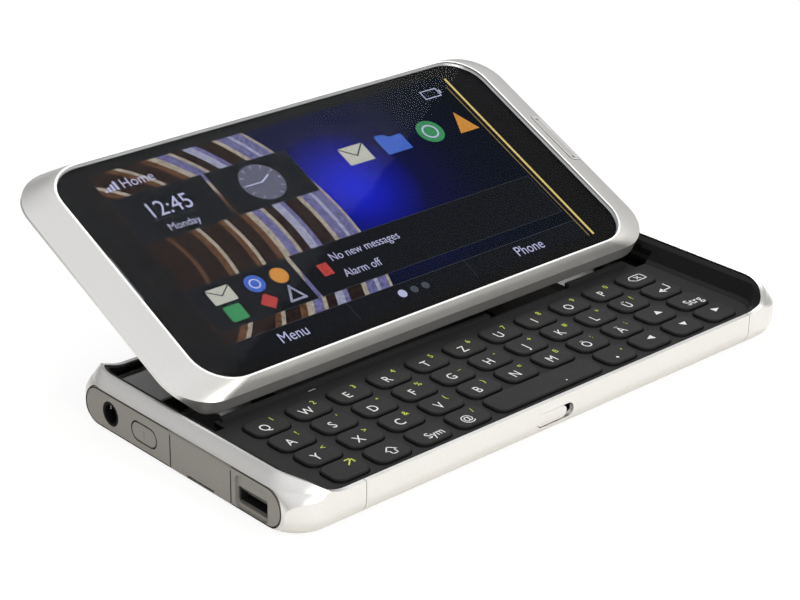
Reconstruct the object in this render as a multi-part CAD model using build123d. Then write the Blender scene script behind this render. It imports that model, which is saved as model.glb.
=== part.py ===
from build123d import *
import math
import os

# Landscape slider phone with a keyboard in its base. The display half swings
# back and up on four links, and is modelled open. Millimetres. The origin is the
# centre of the base's underside, +X runs along the long side, +Y away from the
# user and +Z up. Display pieces are drawn flat, with the glass top at zero, and
# are then placed open.

os.makedirs("parts", exist_ok=True)

# ---------------------------------------------------------------- whole phone
LENGTH = 123.7
DEPTH = 62.4
CLOSED_HEIGHT = 13.6
END_X = LENGTH / 2
SIDE_Y = DEPTH / 2
FIT = 0.1               # gap between fixed pieces that sit in each other
MOVE = 0.15             # gap round a piece that moves
HINGE_FIT = 0.05        # radial clearance of a link on its pin
PIN_SEAT = 0.02         # radial clearance of a pin in its ear
SHEET_T = 0.3           # stamped socket shells and cans

# ---------------------------------------------------------------- base tub
CORNER_R = 8.0          # corner of the tub seen from above, before the ends are cut flat
END_CUT = 1.4           # the rounded form goes on this far past each flat end
SHOULDER_R = 8.6        # corner of the tub where the ends start to lean inwards
SHOULDER_Z = 4.6        # the corners start to draw in above this height
RIM_CORNER_R = 7.4      # corner of the tub at the rim
HULL_R = 3.8            # rounding under the tub, all the way round
END_R = 0.6             # rounding under the flat ends
WALL = 0.9
RIM_SIDE_Z = 7.2        # rim height along the long sides
RIM_END_Z = 10.7        # rim height at the two ends
BAND_START_Z = 8.2      # the ends lean inwards above this height
BAND_RUN = 1.8
CREST = 0.8
SADDLE_IN = END_X - 10.85   # the rim starts to rise here
SADDLE_OUT = END_X - 0.25
SEAM_LEFT_X = 14.65 - END_X
SEAM_RIGHT_X = END_X - 11.05
SEAM = 0.12

# ---------------------------------------------------------------- keyboard
DECK_Z = 6.6
DECK_T = 1.0
KEY_COLUMNS = 11
KEY_GAP_X = 1.71
KEY_GAP_Y = 0.82
KEY_MARGIN = 10.95      # from the end of the phone to the first key
KEY_FRONT = 2.64        # from the near side to the last row
KEY_PITCH_X = (LENGTH - 2 * KEY_MARGIN + KEY_GAP_X) / KEY_COLUMNS
KEY_W = KEY_PITCH_X - KEY_GAP_X
KEY_D = 6.0
KEY_PITCH_Y = KEY_D + KEY_GAP_Y
KEY_R = 1.9
KEY_TOP_Z = 7.2
KEY_FOOT_Z = 5.35
KEY_EDGE = 0.22
LAST_ROW = 3
LAST_ROW_Y = KEY_FRONT + KEY_D / 2 - SIDE_Y
FIRST_ROW_Y = LAST_ROW_Y + LAST_ROW * KEY_PITCH_Y
KEY_TRAVEL = 0.35
LETTER_COLUMNS = [range(0, 10), range(0, 10), range(0, 9)]
DOME_R = 1.8
DOME_GAP = 0.05
DOME_SHEET_T = 0.15
DOME_SHEET_X = END_X - 10.35
DECK_EDGE_Y = FIRST_ROW_Y + KEY_D / 2 + 4.7     # the deck ends here, behind the first row
LIP_H = 0.6
LIP_T = 1.2
LIP_GAP = (13.2, 35.0)  # cut-out for the flat cable
WELL_HALF_X = END_X - 4.35
WELL_EDGE_Y = SIDE_Y - 1.5
WELL_R = 4.5
TRACK_X = (END_X - 9.35, END_X - 4.65)  # side channels beside the deck
TRACK_END_Y = DECK_EDGE_Y - 3.1
SLOPE_FOOT_X = END_X - 6.65     # the inner side walls lean from here
SLOPE_TOP_X = END_X - 2.8
SLOPE_FOOT_R = 5.4
LINER_DROP = 0.3        # the black liner stops this far below the rim

# ---------------------------------------------------------------- port panel
PANEL_Y = 0.4
PANEL_W = DEPTH - 8.0
PANEL_H = 7.2
PANEL_Z = 4.5
PANEL_R = 3.4
PANEL_T = 1.5
PANEL_GAP = 0.16        # seam round the panel
PANEL_FAR_Y = PANEL_Y + PANEL_W / 2
PANEL_NEAR_Y = PANEL_Y - PANEL_W / 2
JACK_Y = PANEL_FAR_Y - 7.4
JACK_Z = 4.4
JACK_R = 1.8
JACK_NOSE_R = 2.25      # end of the jack, which shows in the panel
JACK_DEPTH = 14.0
JACK_BODY = (6.4, 1.8, 6.6)     # width, underside and top
JACK_COVER = (9.3, 11.2, 0.4)   # along X, along Y and thickness
JACK_COVER_CUT = (2.6, 5.6)     # its bevelled corner
JACK_COVER_X = END_X - 4.55     # its outer end, on the left
POWER_Y = PANEL_FAR_Y - 17.3
POWER_Z = 4.25
POWER_W = 7.2
POWER_H = 3.6
POWER_GAP = 0.2
POWER_TRAVEL = 0.3
FLAP_NEAR_Y = PANEL_NEAR_Y + 12.9
FLAP_W = 16.8
FLAP_T = 1.2
FLAP_PIN_R = 0.35
FLAP_NOTCH = (7.5, 0.55)
FLAP_DROP = 0.12        # gap above the flap, so that it clears the tub when it opens
PANEL_ROOM = POWER_TRAVEL + 0.9     # behind the panel, for the key's flange
HDMI_W = 11.2
HDMI_H = 3.0
HDMI_Z = 3.9
HDMI_DEPTH = 7.5
USB_Y = PANEL_NEAR_Y + 7.6
USB_Z = 3.4
USB_W = 7.8
USB_H = 2.6
USB_DEPTH = 5.2
USB_RECESS = (8.5, 6.2, 0.45)
USB_GAP = 0.3           # dark gap round the socket

# ---------------------------------------------------------------- side controls
CONTROL_Z = 3.9
FLANGE_T = 0.55
LOCK_X = -2.5
LOCK_SLOT = (9.2, 2.8)
LOCK_LENGTH = 7.4
VOLUME_X = 40.85 - END_X
VOLUME_SLOT = (14.0, 2.6)
VOLUME_LENGTH = 11.2
SHUTTER_X = END_X - 41.85
SHUTTER = (10.0, 2.6)
SIM_W = 17.0
SIM_Y = 17.6 - SIDE_Y
SIM_H = 1.5
SIM_Z = 2.3
SIM_LENGTH = 26.0
SIM_DOOR_H = 2.2

# ---------------------------------------------------------------- hinge lanes along X
EAR_GAP = 0.3
ARM_GAP = 0.4
EAR_T = 0.8
EAR_OUT = (END_X - 18.55, END_X - 17.35)
ARM_LANE = (EAR_OUT[0] - ARM_GAP - 2.0, EAR_OUT[0] - ARM_GAP)
EAR_MID = (ARM_LANE[0] - EAR_GAP - EAR_T, ARM_LANE[0] - EAR_GAP)
LINK_LANE = (EAR_MID[0] - EAR_GAP - 1.6, EAR_MID[0] - EAR_GAP)
EAR_IN = (LINK_LANE[0] - EAR_GAP - EAR_T, LINK_LANE[0] - EAR_GAP)

# ---------------------------------------------------------------- inside the base
BOARD_Z = 3.4
BOARD_T = 0.8
BOARD_X = END_X - 15.85
BOARD_Y = (3.2 - SIDE_Y, DECK_EDGE_Y - 1.0)
CAN_H = 1.5
BATTERY_X = EAR_IN[0] - 1.4
BATTERY_Y = (DECK_EDGE_Y + 1.0, SIDE_Y - 3.6)
BATTERY_Z = (1.1, 4.9)
BATTERY_EDGE = 0.6
WELL_PLATE_T = 0.6
CAMERA_SIZE = 8.4
CAMERA_XY = (8.85 - END_X, FLAP_NEAR_Y + FLAP_W / 2 + HDMI_W / 2 + 1.5 + CAMERA_SIZE / 2)
CAMERA_TOP_Z = 5.4
LENS_R = 2.6
WINDOW_Y = CAMERA_XY[1] - 6.2
WINDOW = (9.4, 23.0, 0.5)
FLASH_Y = (CAMERA_XY[1] - 11.6, CAMERA_XY[1] - 15.2)
FLASH_R = 1.0
SPEAKER_XY = (END_X - 5.85, SIDE_Y - 26.0)
SPEAKER = (9.0, 10.5, 3.2)
GRILLE = (8.0, 8.6, 0.5)
BUZZER_XY = (END_X - 9.65, SIDE_Y - 10.0)
BUZZER_R = 4.0
BUZZER_H = 2.6
MIC_Y = 11.0
MIC_R = 0.5
SCREW_HEAD_R = 1.3
SCREW_HEAD_H = 0.5
SCREW_R = 0.6
BOARD_SCREWS = [(27.85 - END_X, 11.2 - SIDE_Y), (END_X - 30.35, 11.2 - SIDE_Y)]
END_SCREWS = [(6.05 - END_X, SIDE_Y - 17.0), (END_X - 5.85, SIDE_Y - 17.0)]
SCREW_SINK = 0.12

# ---------------------------------------------------------------- display half
DISPLAY_LENGTH = LENGTH - 4.3
DISPLAY_DEPTH = DEPTH - 3.0
DISPLAY_R = 9.0
HALF_GAP = 0.3          # gap between the halves when shut
DISPLAY_T = CLOSED_HEIGHT - RIM_SIDE_Z - HALF_GAP
EDGE_TOP = 2.2          # the sloping bands reach their outer edge here
END_CURVE = 0.9         # how full the bands are: 1 is a plain slope
SIDE_CURVE = 0.8
UNDER_R = 1.2
GLASS_L = DISPLAY_LENGTH - 12.9
GLASS_D = DISPLAY_DEPTH - 3.5
GLASS_R = 7.7
GLASS_T = 0.8
GLASS_SINK = 0.05
GLASS_GAP = 0.2
GLASS_EDGE = 0.15
BAND_TOP_X = GLASS_L / 2 + 0.35     # half-length of the flat top
BAND_TOP_Y = GLASS_D / 2 + 0.25
BAND_TOP_R = GLASS_R + 0.3
EAR_SLOT = (0.85, 11.3)
LEDGE_X = 1.75
LEDGE_Y = 1.35
PANEL_SIZE = (GLASS_L - 14.1, GLASS_D - 3.3, 1.1)
PANEL_SHIFT_X = -0.3
STACK_GAP = 0.1
CHASSIS_T = 0.4
CHASSIS_SIZE = (GLASS_L - 6.5, GLASS_D - 3.9)
COVER_T = 0.8
COVER_GAP = 0.05
COVER_END_X = DISPLAY_LENGTH / 2 - 4.5
COVER_INSET = 2.9       # the back cover stays this far inside the long sides
HOME_X = DISPLAY_LENGTH / 2 - 2.5
HOME_Y = 0.8
HOME = (2.8, 13.6)
HOME_H = 0.9
HOME_R = 0.6
HOME_PROUD = 0.12
HOME_TRAVEL = 0.25
FRONT_CAMERA_XY = (3.65 - GLASS_L / 2, 14.0)
FRONT_CAMERA_R = 1.6
EARPIECE = (3.0, 12.0, 1.4)
EARPIECE_X = 3.45 - GLASS_L / 2
DISPLAY_SCREW_X = 30.0
DISPLAY_SCREW_Y = CHASSIS_SIZE[1] / 2 - 2.0

# ---------------------------------------------------------------- linkage
TILT = 25.8
OPEN_Y = SIDE_Y - 4.8   # glass centre when open
OPEN_Z = 26.0
ARM_V = 1.0             # the pivots in the display, from its centre line
LINK_V = 5.2
ARM_W = -4.1            # and below the glass top
LINK_W = -4.6
PIVOT_Z = 3.2           # height of the pivots in the base
PIN_R = 0.7
SLIM_PIN_R = 0.5        # the guide links' pins in the display
OPEN_PIVOT_PLAY = 0.36  # extra play where the guide link meets the display
HUB_R = 1.35
ARM_HALF = 1.05
EAR_REACH = 1.55
PIN_WALL = 0.6          # metal left below a pin in the display's ears
SPRING_WIRE = 0.25
SPRING_TURNS = 3
SPRING_PITCH = 2 * SPRING_WIRE + 0.12
FLEX_X = (LIP_GAP[0] + 2.8, LIP_GAP[1] - 2.0)
FLEX_T = 0.2
FLEX_FOOT = (DECK_EDGE_Y + 9.4, 5.95)
FLEX_HEAD_V = -8.0
FLEX_BEND = 4.0


# ---------------------------------------------------------------- helpers
def slab(x0, x1, y0, y1, z0, z1):
    return Pos((x0 + x1) / 2, (y0 + y1) / 2, (z0 + z1) / 2) * Box(x1 - x0, y1 - y0, z1 - z0)


def plate(length, depth, radius, z0, z1, x=0.0, y=0.0):
    return Pos(x, y, z0) * extrude(RectangleRounded(length, depth, radius), z1 - z0)


def disc(radius, x, y, z0, z1):
    return Pos(x, y, (z0 + z1) / 2) * Cylinder(radius, z1 - z0)


def rod_x(radius, x0, x1, y, z):
    return Pos((x0 + x1) / 2, y, z) * Rot(0, 90, 0) * Cylinder(radius, abs(x1 - x0))


def rod_y(radius, y0, y1, x, z):
    return Pos(x, (y0 + y1) / 2, z) * Rot(90, 0, 0) * Cylinder(radius, abs(y1 - y0))


def along_x(outline, x0, x1):
    """Extrude an outline drawn as (Y, Z) from x0 to x1."""
    return Pos(x0, 0, 0) * extrude(Plane.YZ * outline, x1 - x0)


def along_y(outline, y0, y1):
    """Extrude an outline drawn as (X, Z) from y0 to y1."""
    return Pos(0, y1, 0) * extrude(Plane.XZ * outline, y1 - y0)


def both_sides(solid):
    return [solid, mirror(solid, about=Plane.YZ)]


def save(name, solids):
    if not isinstance(solids, list):
        solids = [solids]
    pieces = []
    for solid in solids:
        pieces.extend(solid.solids())
    shape = pieces[0] if len(pieces) == 1 else Compound(children=pieces)
    shape.label = name
    export_step(shape, f"parts/{name}.step")


# ---------------------------------------------------------------- parting surface
def above_saddle(shift, top=30.0):
    """Everything above the curved parting surface, moved up by shift."""
    low = RIM_SIDE_Z + shift
    high = RIM_END_Z + shift
    run = SADDLE_OUT - SADDLE_IN
    rise = RIM_END_Z - RIM_SIDE_Z
    radius = (run * run + rise * rise) / (4 * rise)
    half_angle = math.asin(run / 2 / radius) / 2
    dx = radius * math.sin(half_angle)
    dz = radius * (1 - math.cos(half_angle))
    middle_x = (SADDLE_IN + SADDLE_OUT) / 2
    middle_z = (low + high) / 2
    reach = LENGTH
    edges = [Line((-SADDLE_IN, low), (SADDLE_IN, low))]
    for side in (1, -1):
        inner = (side * SADDLE_IN, low)
        middle = (side * middle_x, middle_z)
        outer = (side * SADDLE_OUT, high)
        edges.append(ThreePointArc(inner, (side * (SADDLE_IN + dx), low + dz), middle))
        edges.append(ThreePointArc(middle, (side * (SADDLE_OUT - dx), high - dz), outer))
        edges.append(Line(outer, (side * reach, high)))
        edges.append(Line((side * reach, high), (side * reach, top)))
    edges.append(Line((reach, top), (-reach, top)))
    return along_y(make_face(edges), -DEPTH, DEPTH)


# ---------------------------------------------------------------- tub forms
def plan_form(inset, z0, z1):
    """The tub's outline seen from above, as a prism: wide corners cut off by flat ends."""
    prism = plate(LENGTH + 2 * (END_CUT - inset), DEPTH - 2 * inset, CORNER_R - inset, z0, z1)
    half = END_X - inset
    return prism & slab(-half, half, -DEPTH, DEPTH, z0 - 1, z1 + 1)


def tub_form(inset, rim_inset):
    """The tub's outer form, moved inwards by inset and by rim_inset at the rim."""
    length = LENGTH - 2 * inset
    depth = DEPTH - 2 * inset
    pillow = plate(length + 2 * END_CUT, depth, CORNER_R - inset, inset, BAND_START_Z)
    pillow = fillet(pillow.edges().group_by(Axis.Z)[0], HULL_R - inset)
    corners = []
    for share, radius in ((0.0, CORNER_R / 2), (0.5, 0.7 * CORNER_R), (1.0, SHOULDER_R)):
        section_z = SHOULDER_Z + share * (BAND_START_Z - SHOULDER_Z)
        corners.append(Pos(0, 0, section_z) * RectangleRounded(length, depth, radius - inset))
    lower = pillow & (slab(-length / 2, length / 2, -DEPTH, DEPTH, 0, SHOULDER_Z) + loft(corners))
    run = BAND_RUN - inset + rim_inset
    sections = []
    for share, height in ((0.0, 0.0), (0.42, 0.52), (1.0, 1.0)):
        radius = SHOULDER_R - inset
        radius += share * (RIM_CORNER_R - rim_inset - radius)
        section_z = BAND_START_Z + height * (RIM_END_Z - BAND_START_Z)
        outline = RectangleRounded(length - 2 * share * run, depth - 2 * share * run, radius)
        sections.append(Pos(0, 0, section_z) * outline)
    body = lower + loft(sections)
    tall = 3 * RIM_END_Z
    ends = RectangleRounded(length, tall, max(END_R - inset, 0.3))
    return body & along_y(Pos(0, inset + tall / 2) * ends, -DEPTH, DEPTH)


tub_outer = tub_form(0, 0) - above_saddle(0)
tub_inner = tub_form(WALL, CREST)
tub = tub_outer - tub_inner


# ---------------------------------------------------------------- keys
def key_x(column):
    return (column - (KEY_COLUMNS - 1) / 2) * KEY_PITCH_X


def row_y(row):
    return FIRST_ROW_Y - row * KEY_PITCH_Y


def key_outline(columns, row, grow=0.0):
    first, last = min(columns), max(columns)
    width = (last - first) * KEY_PITCH_X + KEY_W + 2 * grow
    place = Pos((key_x(first) + key_x(last)) / 2, row_y(row))
    return place * RectangleRounded(width, KEY_D + 2 * grow, KEY_R + grow)


def key_cap(columns, row):
    cap = extrude(Pos(0, 0, KEY_FOOT_Z) * key_outline(columns, row), KEY_TOP_Z - KEY_FOOT_Z)
    top_edges = cap.faces().sort_by(Axis.Z)[-1].edges()
    return chamfer(top_edges, KEY_EDGE)


SINGLE_KEYS = {
    "key_backspace": ([10], 0), "key_enter": ([10], 1),
    "key_up": ([9], 2), "key_ctrl": ([10], 2),
    "key_fn": ([0], 3), "key_shift": ([1], 3), "key_sym": ([2], 3), "key_at": ([3], 3),
    "key_space": ([4, 5, 6], 3), "key_dot": ([7], 3),
    "key_left": ([8], 3), "key_down": ([9], 3), "key_right": ([10], 3),
}
all_keys = list(SINGLE_KEYS.values())
for letter_row, letter_columns in enumerate(LETTER_COLUMNS):
    all_keys += [([column], letter_row) for column in letter_columns]

for key_name, (key_columns, key_row) in SINGLE_KEYS.items():
    save(key_name, key_cap(key_columns, key_row))
for letter_row, letter_columns in enumerate(LETTER_COLUMNS):
    caps = [key_cap([column], letter_row) for column in letter_columns]
    save(f"letter_keys_row_{letter_row + 1}", caps)


# ---------------------------------------------------------------- port panel outline
panel_x = -END_X
panel_inner_x = panel_x + PANEL_T


def panel_outline(grow=0.0):
    rect = RectangleRounded(PANEL_W + 2 * grow, PANEL_H + 2 * grow, PANEL_R + grow)
    return Pos(PANEL_Y, PANEL_Z) * rect


def panel_cut(depth, grow=PANEL_GAP):
    """Room for the port panel, cut square to the tub's wall and this deep."""
    cut = along_x(panel_outline(grow), panel_x - 1, panel_x + CORNER_R)
    return cut - plan_form(depth, -1, RIM_END_Z)


# ---------------------------------------------------------------- deck and dome sheet
def keypad_deck():
    liner = tub_form(WALL + FIT, CREST + FIT)
    liner &= slab(-LENGTH, LENGTH, -DEPTH, DEPTH, DECK_Z - DECK_T, RIM_END_Z)
    liner -= above_saddle(-LINER_DROP)
    hollow_depth = DEPTH - 2 * (WALL + FIT + 0.3)
    foot = RectangleRounded(2 * SLOPE_FOOT_X, hollow_depth, SLOPE_FOOT_R)
    head = RectangleRounded(2 * SLOPE_TOP_X, hollow_depth + 0.4, SLOPE_FOOT_R)
    hollow = loft([Pos(0, 0, DECK_Z) * foot, Pos(0, 0, RIM_END_Z) * head])
    deck = liner - hollow
    low = DECK_Z - DECK_T - 1
    well = plate(2 * WELL_HALF_X, 2 * (WELL_EDGE_Y - DECK_EDGE_Y), WELL_R, low, RIM_END_Z,
                 0, DECK_EDGE_Y)
    deck -= well & slab(-LENGTH, LENGTH, DECK_EDGE_Y, DEPTH, low, RIM_END_Z)
    for side in both_sides(slab(*TRACK_X, TRACK_END_Y, DECK_EDGE_Y + 1, low, RIM_END_Z)):
        deck -= side
    lip_y = DECK_EDGE_Y - LIP_T
    lip_end = TRACK_X[0] - 1.0
    deck += slab(-lip_end, LIP_GAP[0], lip_y, DECK_EDGE_Y, DECK_Z - 0.2, DECK_Z + LIP_H)
    deck += slab(LIP_GAP[1], lip_end, lip_y, DECK_EDGE_Y, DECK_Z - 0.2, DECK_Z + LIP_H)
    deck -= slab(*LIP_GAP, lip_y, DECK_EDGE_Y + 1, low, RIM_END_Z)
    for columns, row in all_keys:
        deck -= extrude(Pos(0, 0, low) * key_outline(columns, row, MOVE), DECK_Z - low + 1)
    deck -= panel_cut(PANEL_T + PANEL_ROOM)
    jack_half = JACK_BODY[0] / 2 + FIT
    deck -= slab(-LENGTH, -WELL_HALF_X + 1, JACK_Y - jack_half, JACK_Y + jack_half,
                 low, JACK_BODY[2] + FIT)
    return deck


def key_dome_sheet():
    film_z = BOARD_Z + BOARD_T
    dome_top = KEY_FOOT_Z - KEY_TRAVEL - DOME_GAP
    sheet = slab(-DOME_SHEET_X, DOME_SHEET_X, BOARD_Y[0] - 0.7, BOARD_Y[1] - 1.8,
                 film_z, film_z + DOME_SHEET_T)
    for columns, row in all_keys:
        x = (key_x(min(columns)) + key_x(max(columns))) / 2
        sheet += disc(DOME_R, x, row_y(row), film_z, dome_top)
    return sheet


save("keypad_deck", keypad_deck())
save("key_dome_sheet", key_dome_sheet())


# ---------------------------------------------------------------- linkage geometry
def placed_open(v, w):
    """Row (Y, Z) of a display point (v, w) with the display open."""
    angle = math.radians(TILT)
    y = OPEN_Y + v * math.cos(angle) - w * math.sin(angle)
    z = OPEN_Z + v * math.sin(angle) + w * math.cos(angle)
    return y, z


def base_pivot(v, w):
    """Base pivot equally far from where the display's pin (v, w) is shut and open."""
    shut = (v, CLOSED_HEIGHT + w)
    opened = placed_open(v, w)
    middle = ((shut[0] + opened[0]) / 2, (shut[1] + opened[1]) / 2)
    dy, dz = opened[0] - shut[0], opened[1] - shut[1]
    return middle[0] - (PIVOT_Z - middle[1]) * dz / dy, PIVOT_Z


ARM_BASE = base_pivot(ARM_V, ARM_W)
ARM_TIP = placed_open(ARM_V, ARM_W)
LINK_BASE = base_pivot(LINK_V, LINK_W)
LINK_TIP = placed_open(LINK_V, LINK_W)


def link_bar(lane, foot, tip, tip_hole):
    """A flat link in the Y-Z plane between two pins."""
    x0, x1 = lane
    length = math.dist(foot, tip)
    angle = math.degrees(math.atan2(tip[1] - foot[1], tip[0] - foot[0]))
    web = Pos(length / 2, 0) * Rectangle(length, 2 * ARM_HALF)
    outline = Circle(HUB_R) + web + Pos(length, 0) * Circle(HUB_R)
    outline -= Circle(PIN_R + HINGE_FIT)
    outline -= Pos(length, 0) * Circle(tip_hole)
    return along_x(Pos(*foot) * Rot(0, 0, angle) * outline, x0, x1)


save("lift_arms", both_sides(link_bar(ARM_LANE, ARM_BASE, ARM_TIP, PIN_R + HINGE_FIT)))
save("guide_links", both_sides(link_bar(LINK_LANE, LINK_BASE, LINK_TIP,
                                        SLIM_PIN_R + HINGE_FIT + OPEN_PIVOT_PLAY)))


def hinge_bracket():
    """Channel bracket with three ears, which carries both base pivots of one side."""
    floor_z = WALL + FIT
    plate_top = floor_z + WELL_PLATE_T
    back = LINK_BASE[0] + EAR_REACH
    front = ARM_BASE[0] - EAR_REACH - 1.5
    bracket = slab(EAR_IN[0], EAR_OUT[1], front - 2, back, floor_z, plate_top)
    for ear in (EAR_IN, EAR_MID, EAR_OUT):
        start = front if ear is not EAR_IN else LINK_BASE[0] - EAR_REACH
        end = back if ear is not EAR_OUT else ARM_BASE[0] + EAR_REACH
        top = LINK_BASE[1] + EAR_REACH
        if ear is EAR_OUT:
            top = ARM_BASE[1] + EAR_REACH
        bracket += slab(*ear, start, end, plate_top - 0.1, top)
    bracket -= rod_x(PIN_R + PIN_SEAT, EAR_IN[0] - 1, EAR_MID[1] + 0.01, *LINK_BASE)
    bracket -= rod_x(PIN_R + PIN_SEAT, EAR_MID[0] - 0.01, EAR_OUT[1] + 1, *ARM_BASE)
    return bracket & tub_form(WALL + FIT, CREST + FIT)


def hinge_spring():
    """Torsion spring coiled on the stretch of pin outside the bracket."""
    coil_r = PIN_R + FIT + SPRING_WIRE
    start_x = EAR_OUT[1] + SPRING_WIRE + FIT
    path = Helix(SPRING_PITCH, SPRING_TURNS * SPRING_PITCH, coil_r)
    wire = sweep(Plane(origin=path @ 0, z_dir=path % 0) * Circle(SPRING_WIRE), path)
    return Pos(start_x, *ARM_BASE) * Rot(0, 90, 0) * wire


spring_room = EAR_OUT[1] + SPRING_TURNS * SPRING_PITCH + 3 * SPRING_WIRE + FIT
arm_pin = rod_x(PIN_R, EAR_MID[0], spring_room, *ARM_BASE)
link_pin = rod_x(PIN_R, EAR_IN[0], EAR_MID[1] - 0.4, *LINK_BASE)
save("hinge_brackets", both_sides(hinge_bracket()))
save("base_pivot_pins", both_sides(arm_pin) + both_sides(link_pin))
save("hinge_springs", both_sides(hinge_spring()))


# ---------------------------------------------------------------- port panel and its pieces
FLAP_Y = (FLAP_NEAR_Y, FLAP_NEAR_Y + FLAP_W)
flap_y = FLAP_NEAR_Y + FLAP_W / 2
flap_axis_x = panel_x + FLAP_T / 2
flap_axis_z = PANEL_Z + PANEL_H / 2 - FLAP_DROP - FLAP_T / 2


def stadium(width, height, y, z, grow=0.0):
    radius = min(width, height) / 2 + grow - 0.01
    return Pos(y, z) * RectangleRounded(width + 2 * grow, height + 2 * grow, radius)


def port_panel():
    panel = panel_cut(PANEL_T, 0) & tub_form(0, 0)
    mouth = Pos(JACK_Y, JACK_Z) * Circle(JACK_NOSE_R + FIT)
    panel -= along_x(mouth, panel_x - 1, panel_x + 5)
    power = stadium(POWER_W, POWER_H, POWER_Y, POWER_Z, POWER_GAP)
    panel -= along_x(power, panel_x - 1, panel_x + 5)
    slot_y0, slot_y1 = FLAP_Y[0] - FIT, FLAP_Y[1] + FIT
    panel -= slab(panel_x - 1, panel_inner_x + 1, slot_y0, slot_y1, 0, 2 * PANEL_Z)
    half = PANEL_H / 2
    backing = slab(panel_x + FLAP_T + FIT, panel_inner_x + 0.7, slot_y0 - 0.8, slot_y1 + 0.8,
                   PANEL_Z - half + FIT, PANEL_Z + half - FIT)
    mouth = Pos(flap_y, HDMI_Z) * Rectangle(HDMI_W + 2 * FIT, HDMI_H + 2 * FIT)
    panel += backing - along_x(mouth, panel_x - 1, panel_x + 5)
    pin_reach = FLAP_T / 2
    pin = rod_y(FLAP_PIN_R + HINGE_FIT, slot_y0 - pin_reach, slot_y1 + pin_reach,
                flap_axis_x, flap_axis_z)
    panel -= pin
    usb_recess = Pos(USB_Y, USB_Z + 0.7) * RectangleRounded(*USB_RECESS[:2], 1.0)
    panel -= along_x(usb_recess, panel_x - 1, panel_x + USB_RECESS[2])
    usb_hole = Pos(USB_Y, USB_Z) * RectangleRounded(USB_W + 2 * USB_GAP, USB_H + 2 * USB_GAP,
                                                    3 * USB_GAP)
    panel -= along_x(usb_hole, panel_x - 1, panel_x + 5)
    return panel


def port_flap():
    top = flap_axis_z
    bottom = PANEL_Z - PANEL_H / 2
    flap = slab(panel_x, panel_x + FLAP_T, *FLAP_Y, bottom, top)
    flap += rod_y(FLAP_T / 2, *FLAP_Y, flap_axis_x, flap_axis_z)
    pin_reach = FLAP_T / 2 - FIT
    flap += rod_y(FLAP_PIN_R, FLAP_Y[0] - pin_reach, FLAP_Y[1] + pin_reach,
                  flap_axis_x, flap_axis_z)
    notch_l, notch_h = FLAP_NOTCH
    notch = slab(panel_x - 1, panel_x + FLAP_T / 2, flap_y - notch_l / 2,
                 flap_y + notch_l / 2, bottom - 1, bottom + notch_h)
    return flap - notch


def power_key():
    cap = along_x(stadium(POWER_W, POWER_H, POWER_Y, POWER_Z), panel_x, panel_inner_x + 0.2)
    flange_x = panel_inner_x + POWER_TRAVEL / 3
    flange = along_x(stadium(POWER_W, POWER_H, POWER_Y, POWER_Z, 0.6),
                     flange_x, flange_x + 0.4)
    return cap + flange


def audio_jack():
    width, low, high = JACK_BODY
    start_x = panel_inner_x + FIT
    end_x = panel_x + JACK_DEPTH + 0.6
    body = slab(start_x, end_x, JACK_Y - width / 2, JACK_Y + width / 2, low, high)
    body += rod_x(JACK_NOSE_R, panel_x + FIT / 2, start_x + 0.5, JACK_Y, JACK_Z)
    bore = rod_x(JACK_R, panel_x - 1, panel_x + JACK_DEPTH, JACK_Y, JACK_Z)
    return body - bore


def jack_cover():
    """Grey plate over the jack, in the left rear corner of the well."""
    length, width, thick = JACK_COVER
    cut_x, cut_y = JACK_COVER_CUT
    foot = JACK_BODY[2] + FIT / 2
    x0, y0 = -JACK_COVER_X, JACK_Y - width / 2
    x1, y1 = x0 + length, y0 + width
    outline = Polyline((x0, y0), (x1 - cut_x, y0), (x1, y0 + cut_y), (x1, y1), (x0, y1),
                       close=True)
    return Pos(0, 0, foot) * extrude(make_face(outline), thick)


def socket_shell(x0, depth, width, height, y, z, tongue):
    shell = slab(x0, x0 + depth, y - width / 2, y + width / 2, z - height / 2, z + height / 2)
    inner_w, inner_h = width / 2 - SHEET_T, height / 2 - SHEET_T
    shell -= slab(x0 - 1, x0 + depth - SHEET_T, y - inner_w, y + inner_w,
                  z - inner_h, z + inner_h)
    bar = slab(x0 + 0.8, x0 + depth - SHEET_T + 0.1, y - inner_w * 0.78, y + inner_w * 0.78,
               z + tongue[0], z + tongue[1])
    return shell + bar


save("port_panel", port_panel())
save("port_flap", port_flap())
save("power_key", power_key())
save("audio_jack", audio_jack())
save("jack_cover", jack_cover())
usb_x = panel_x + USB_RECESS[2] + USB_GAP
save("micro_usb_socket", socket_shell(usb_x, USB_DEPTH, USB_W, USB_H, USB_Y, USB_Z, (0.1, 0.6)))
hdmi_x = panel_x + FLAP_T + 0.4
save("mini_hdmi_socket", socket_shell(hdmi_x, HDMI_DEPTH, HDMI_W, HDMI_H, flap_y, HDMI_Z,
                                      (-0.35, 0.35)))


# ---------------------------------------------------------------- side controls
def control_outline(length, height, x):
    return Pos(x, CONTROL_Z) * RectangleRounded(length, height, height / 2 - 0.01)


def thumb(outline, flange, y_side, sink=0.15):
    """A slider or key in the wall at y_side: flush cap with a flange behind the wall."""
    flange_in = SIDE_Y - WALL - 1.3
    outer = SIDE_Y + 1
    span = (-outer, -flange_in) if y_side < 0 else (flange_in, outer)
    cap = along_y(outline, *span) & tub_form(sink, CREST)
    flange_out = flange_in + FLANGE_T
    span = (-flange_out, -flange_in) if y_side < 0 else (flange_in, flange_out)
    return cap + along_y(flange, *span)


def slot_cut(outline, y_side):
    depth_in = SIDE_Y - WALL - 1.0
    outer = SIDE_Y + 1
    span = (-outer, -depth_in) if y_side < 0 else (depth_in, outer)
    return along_y(outline, *span)


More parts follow.
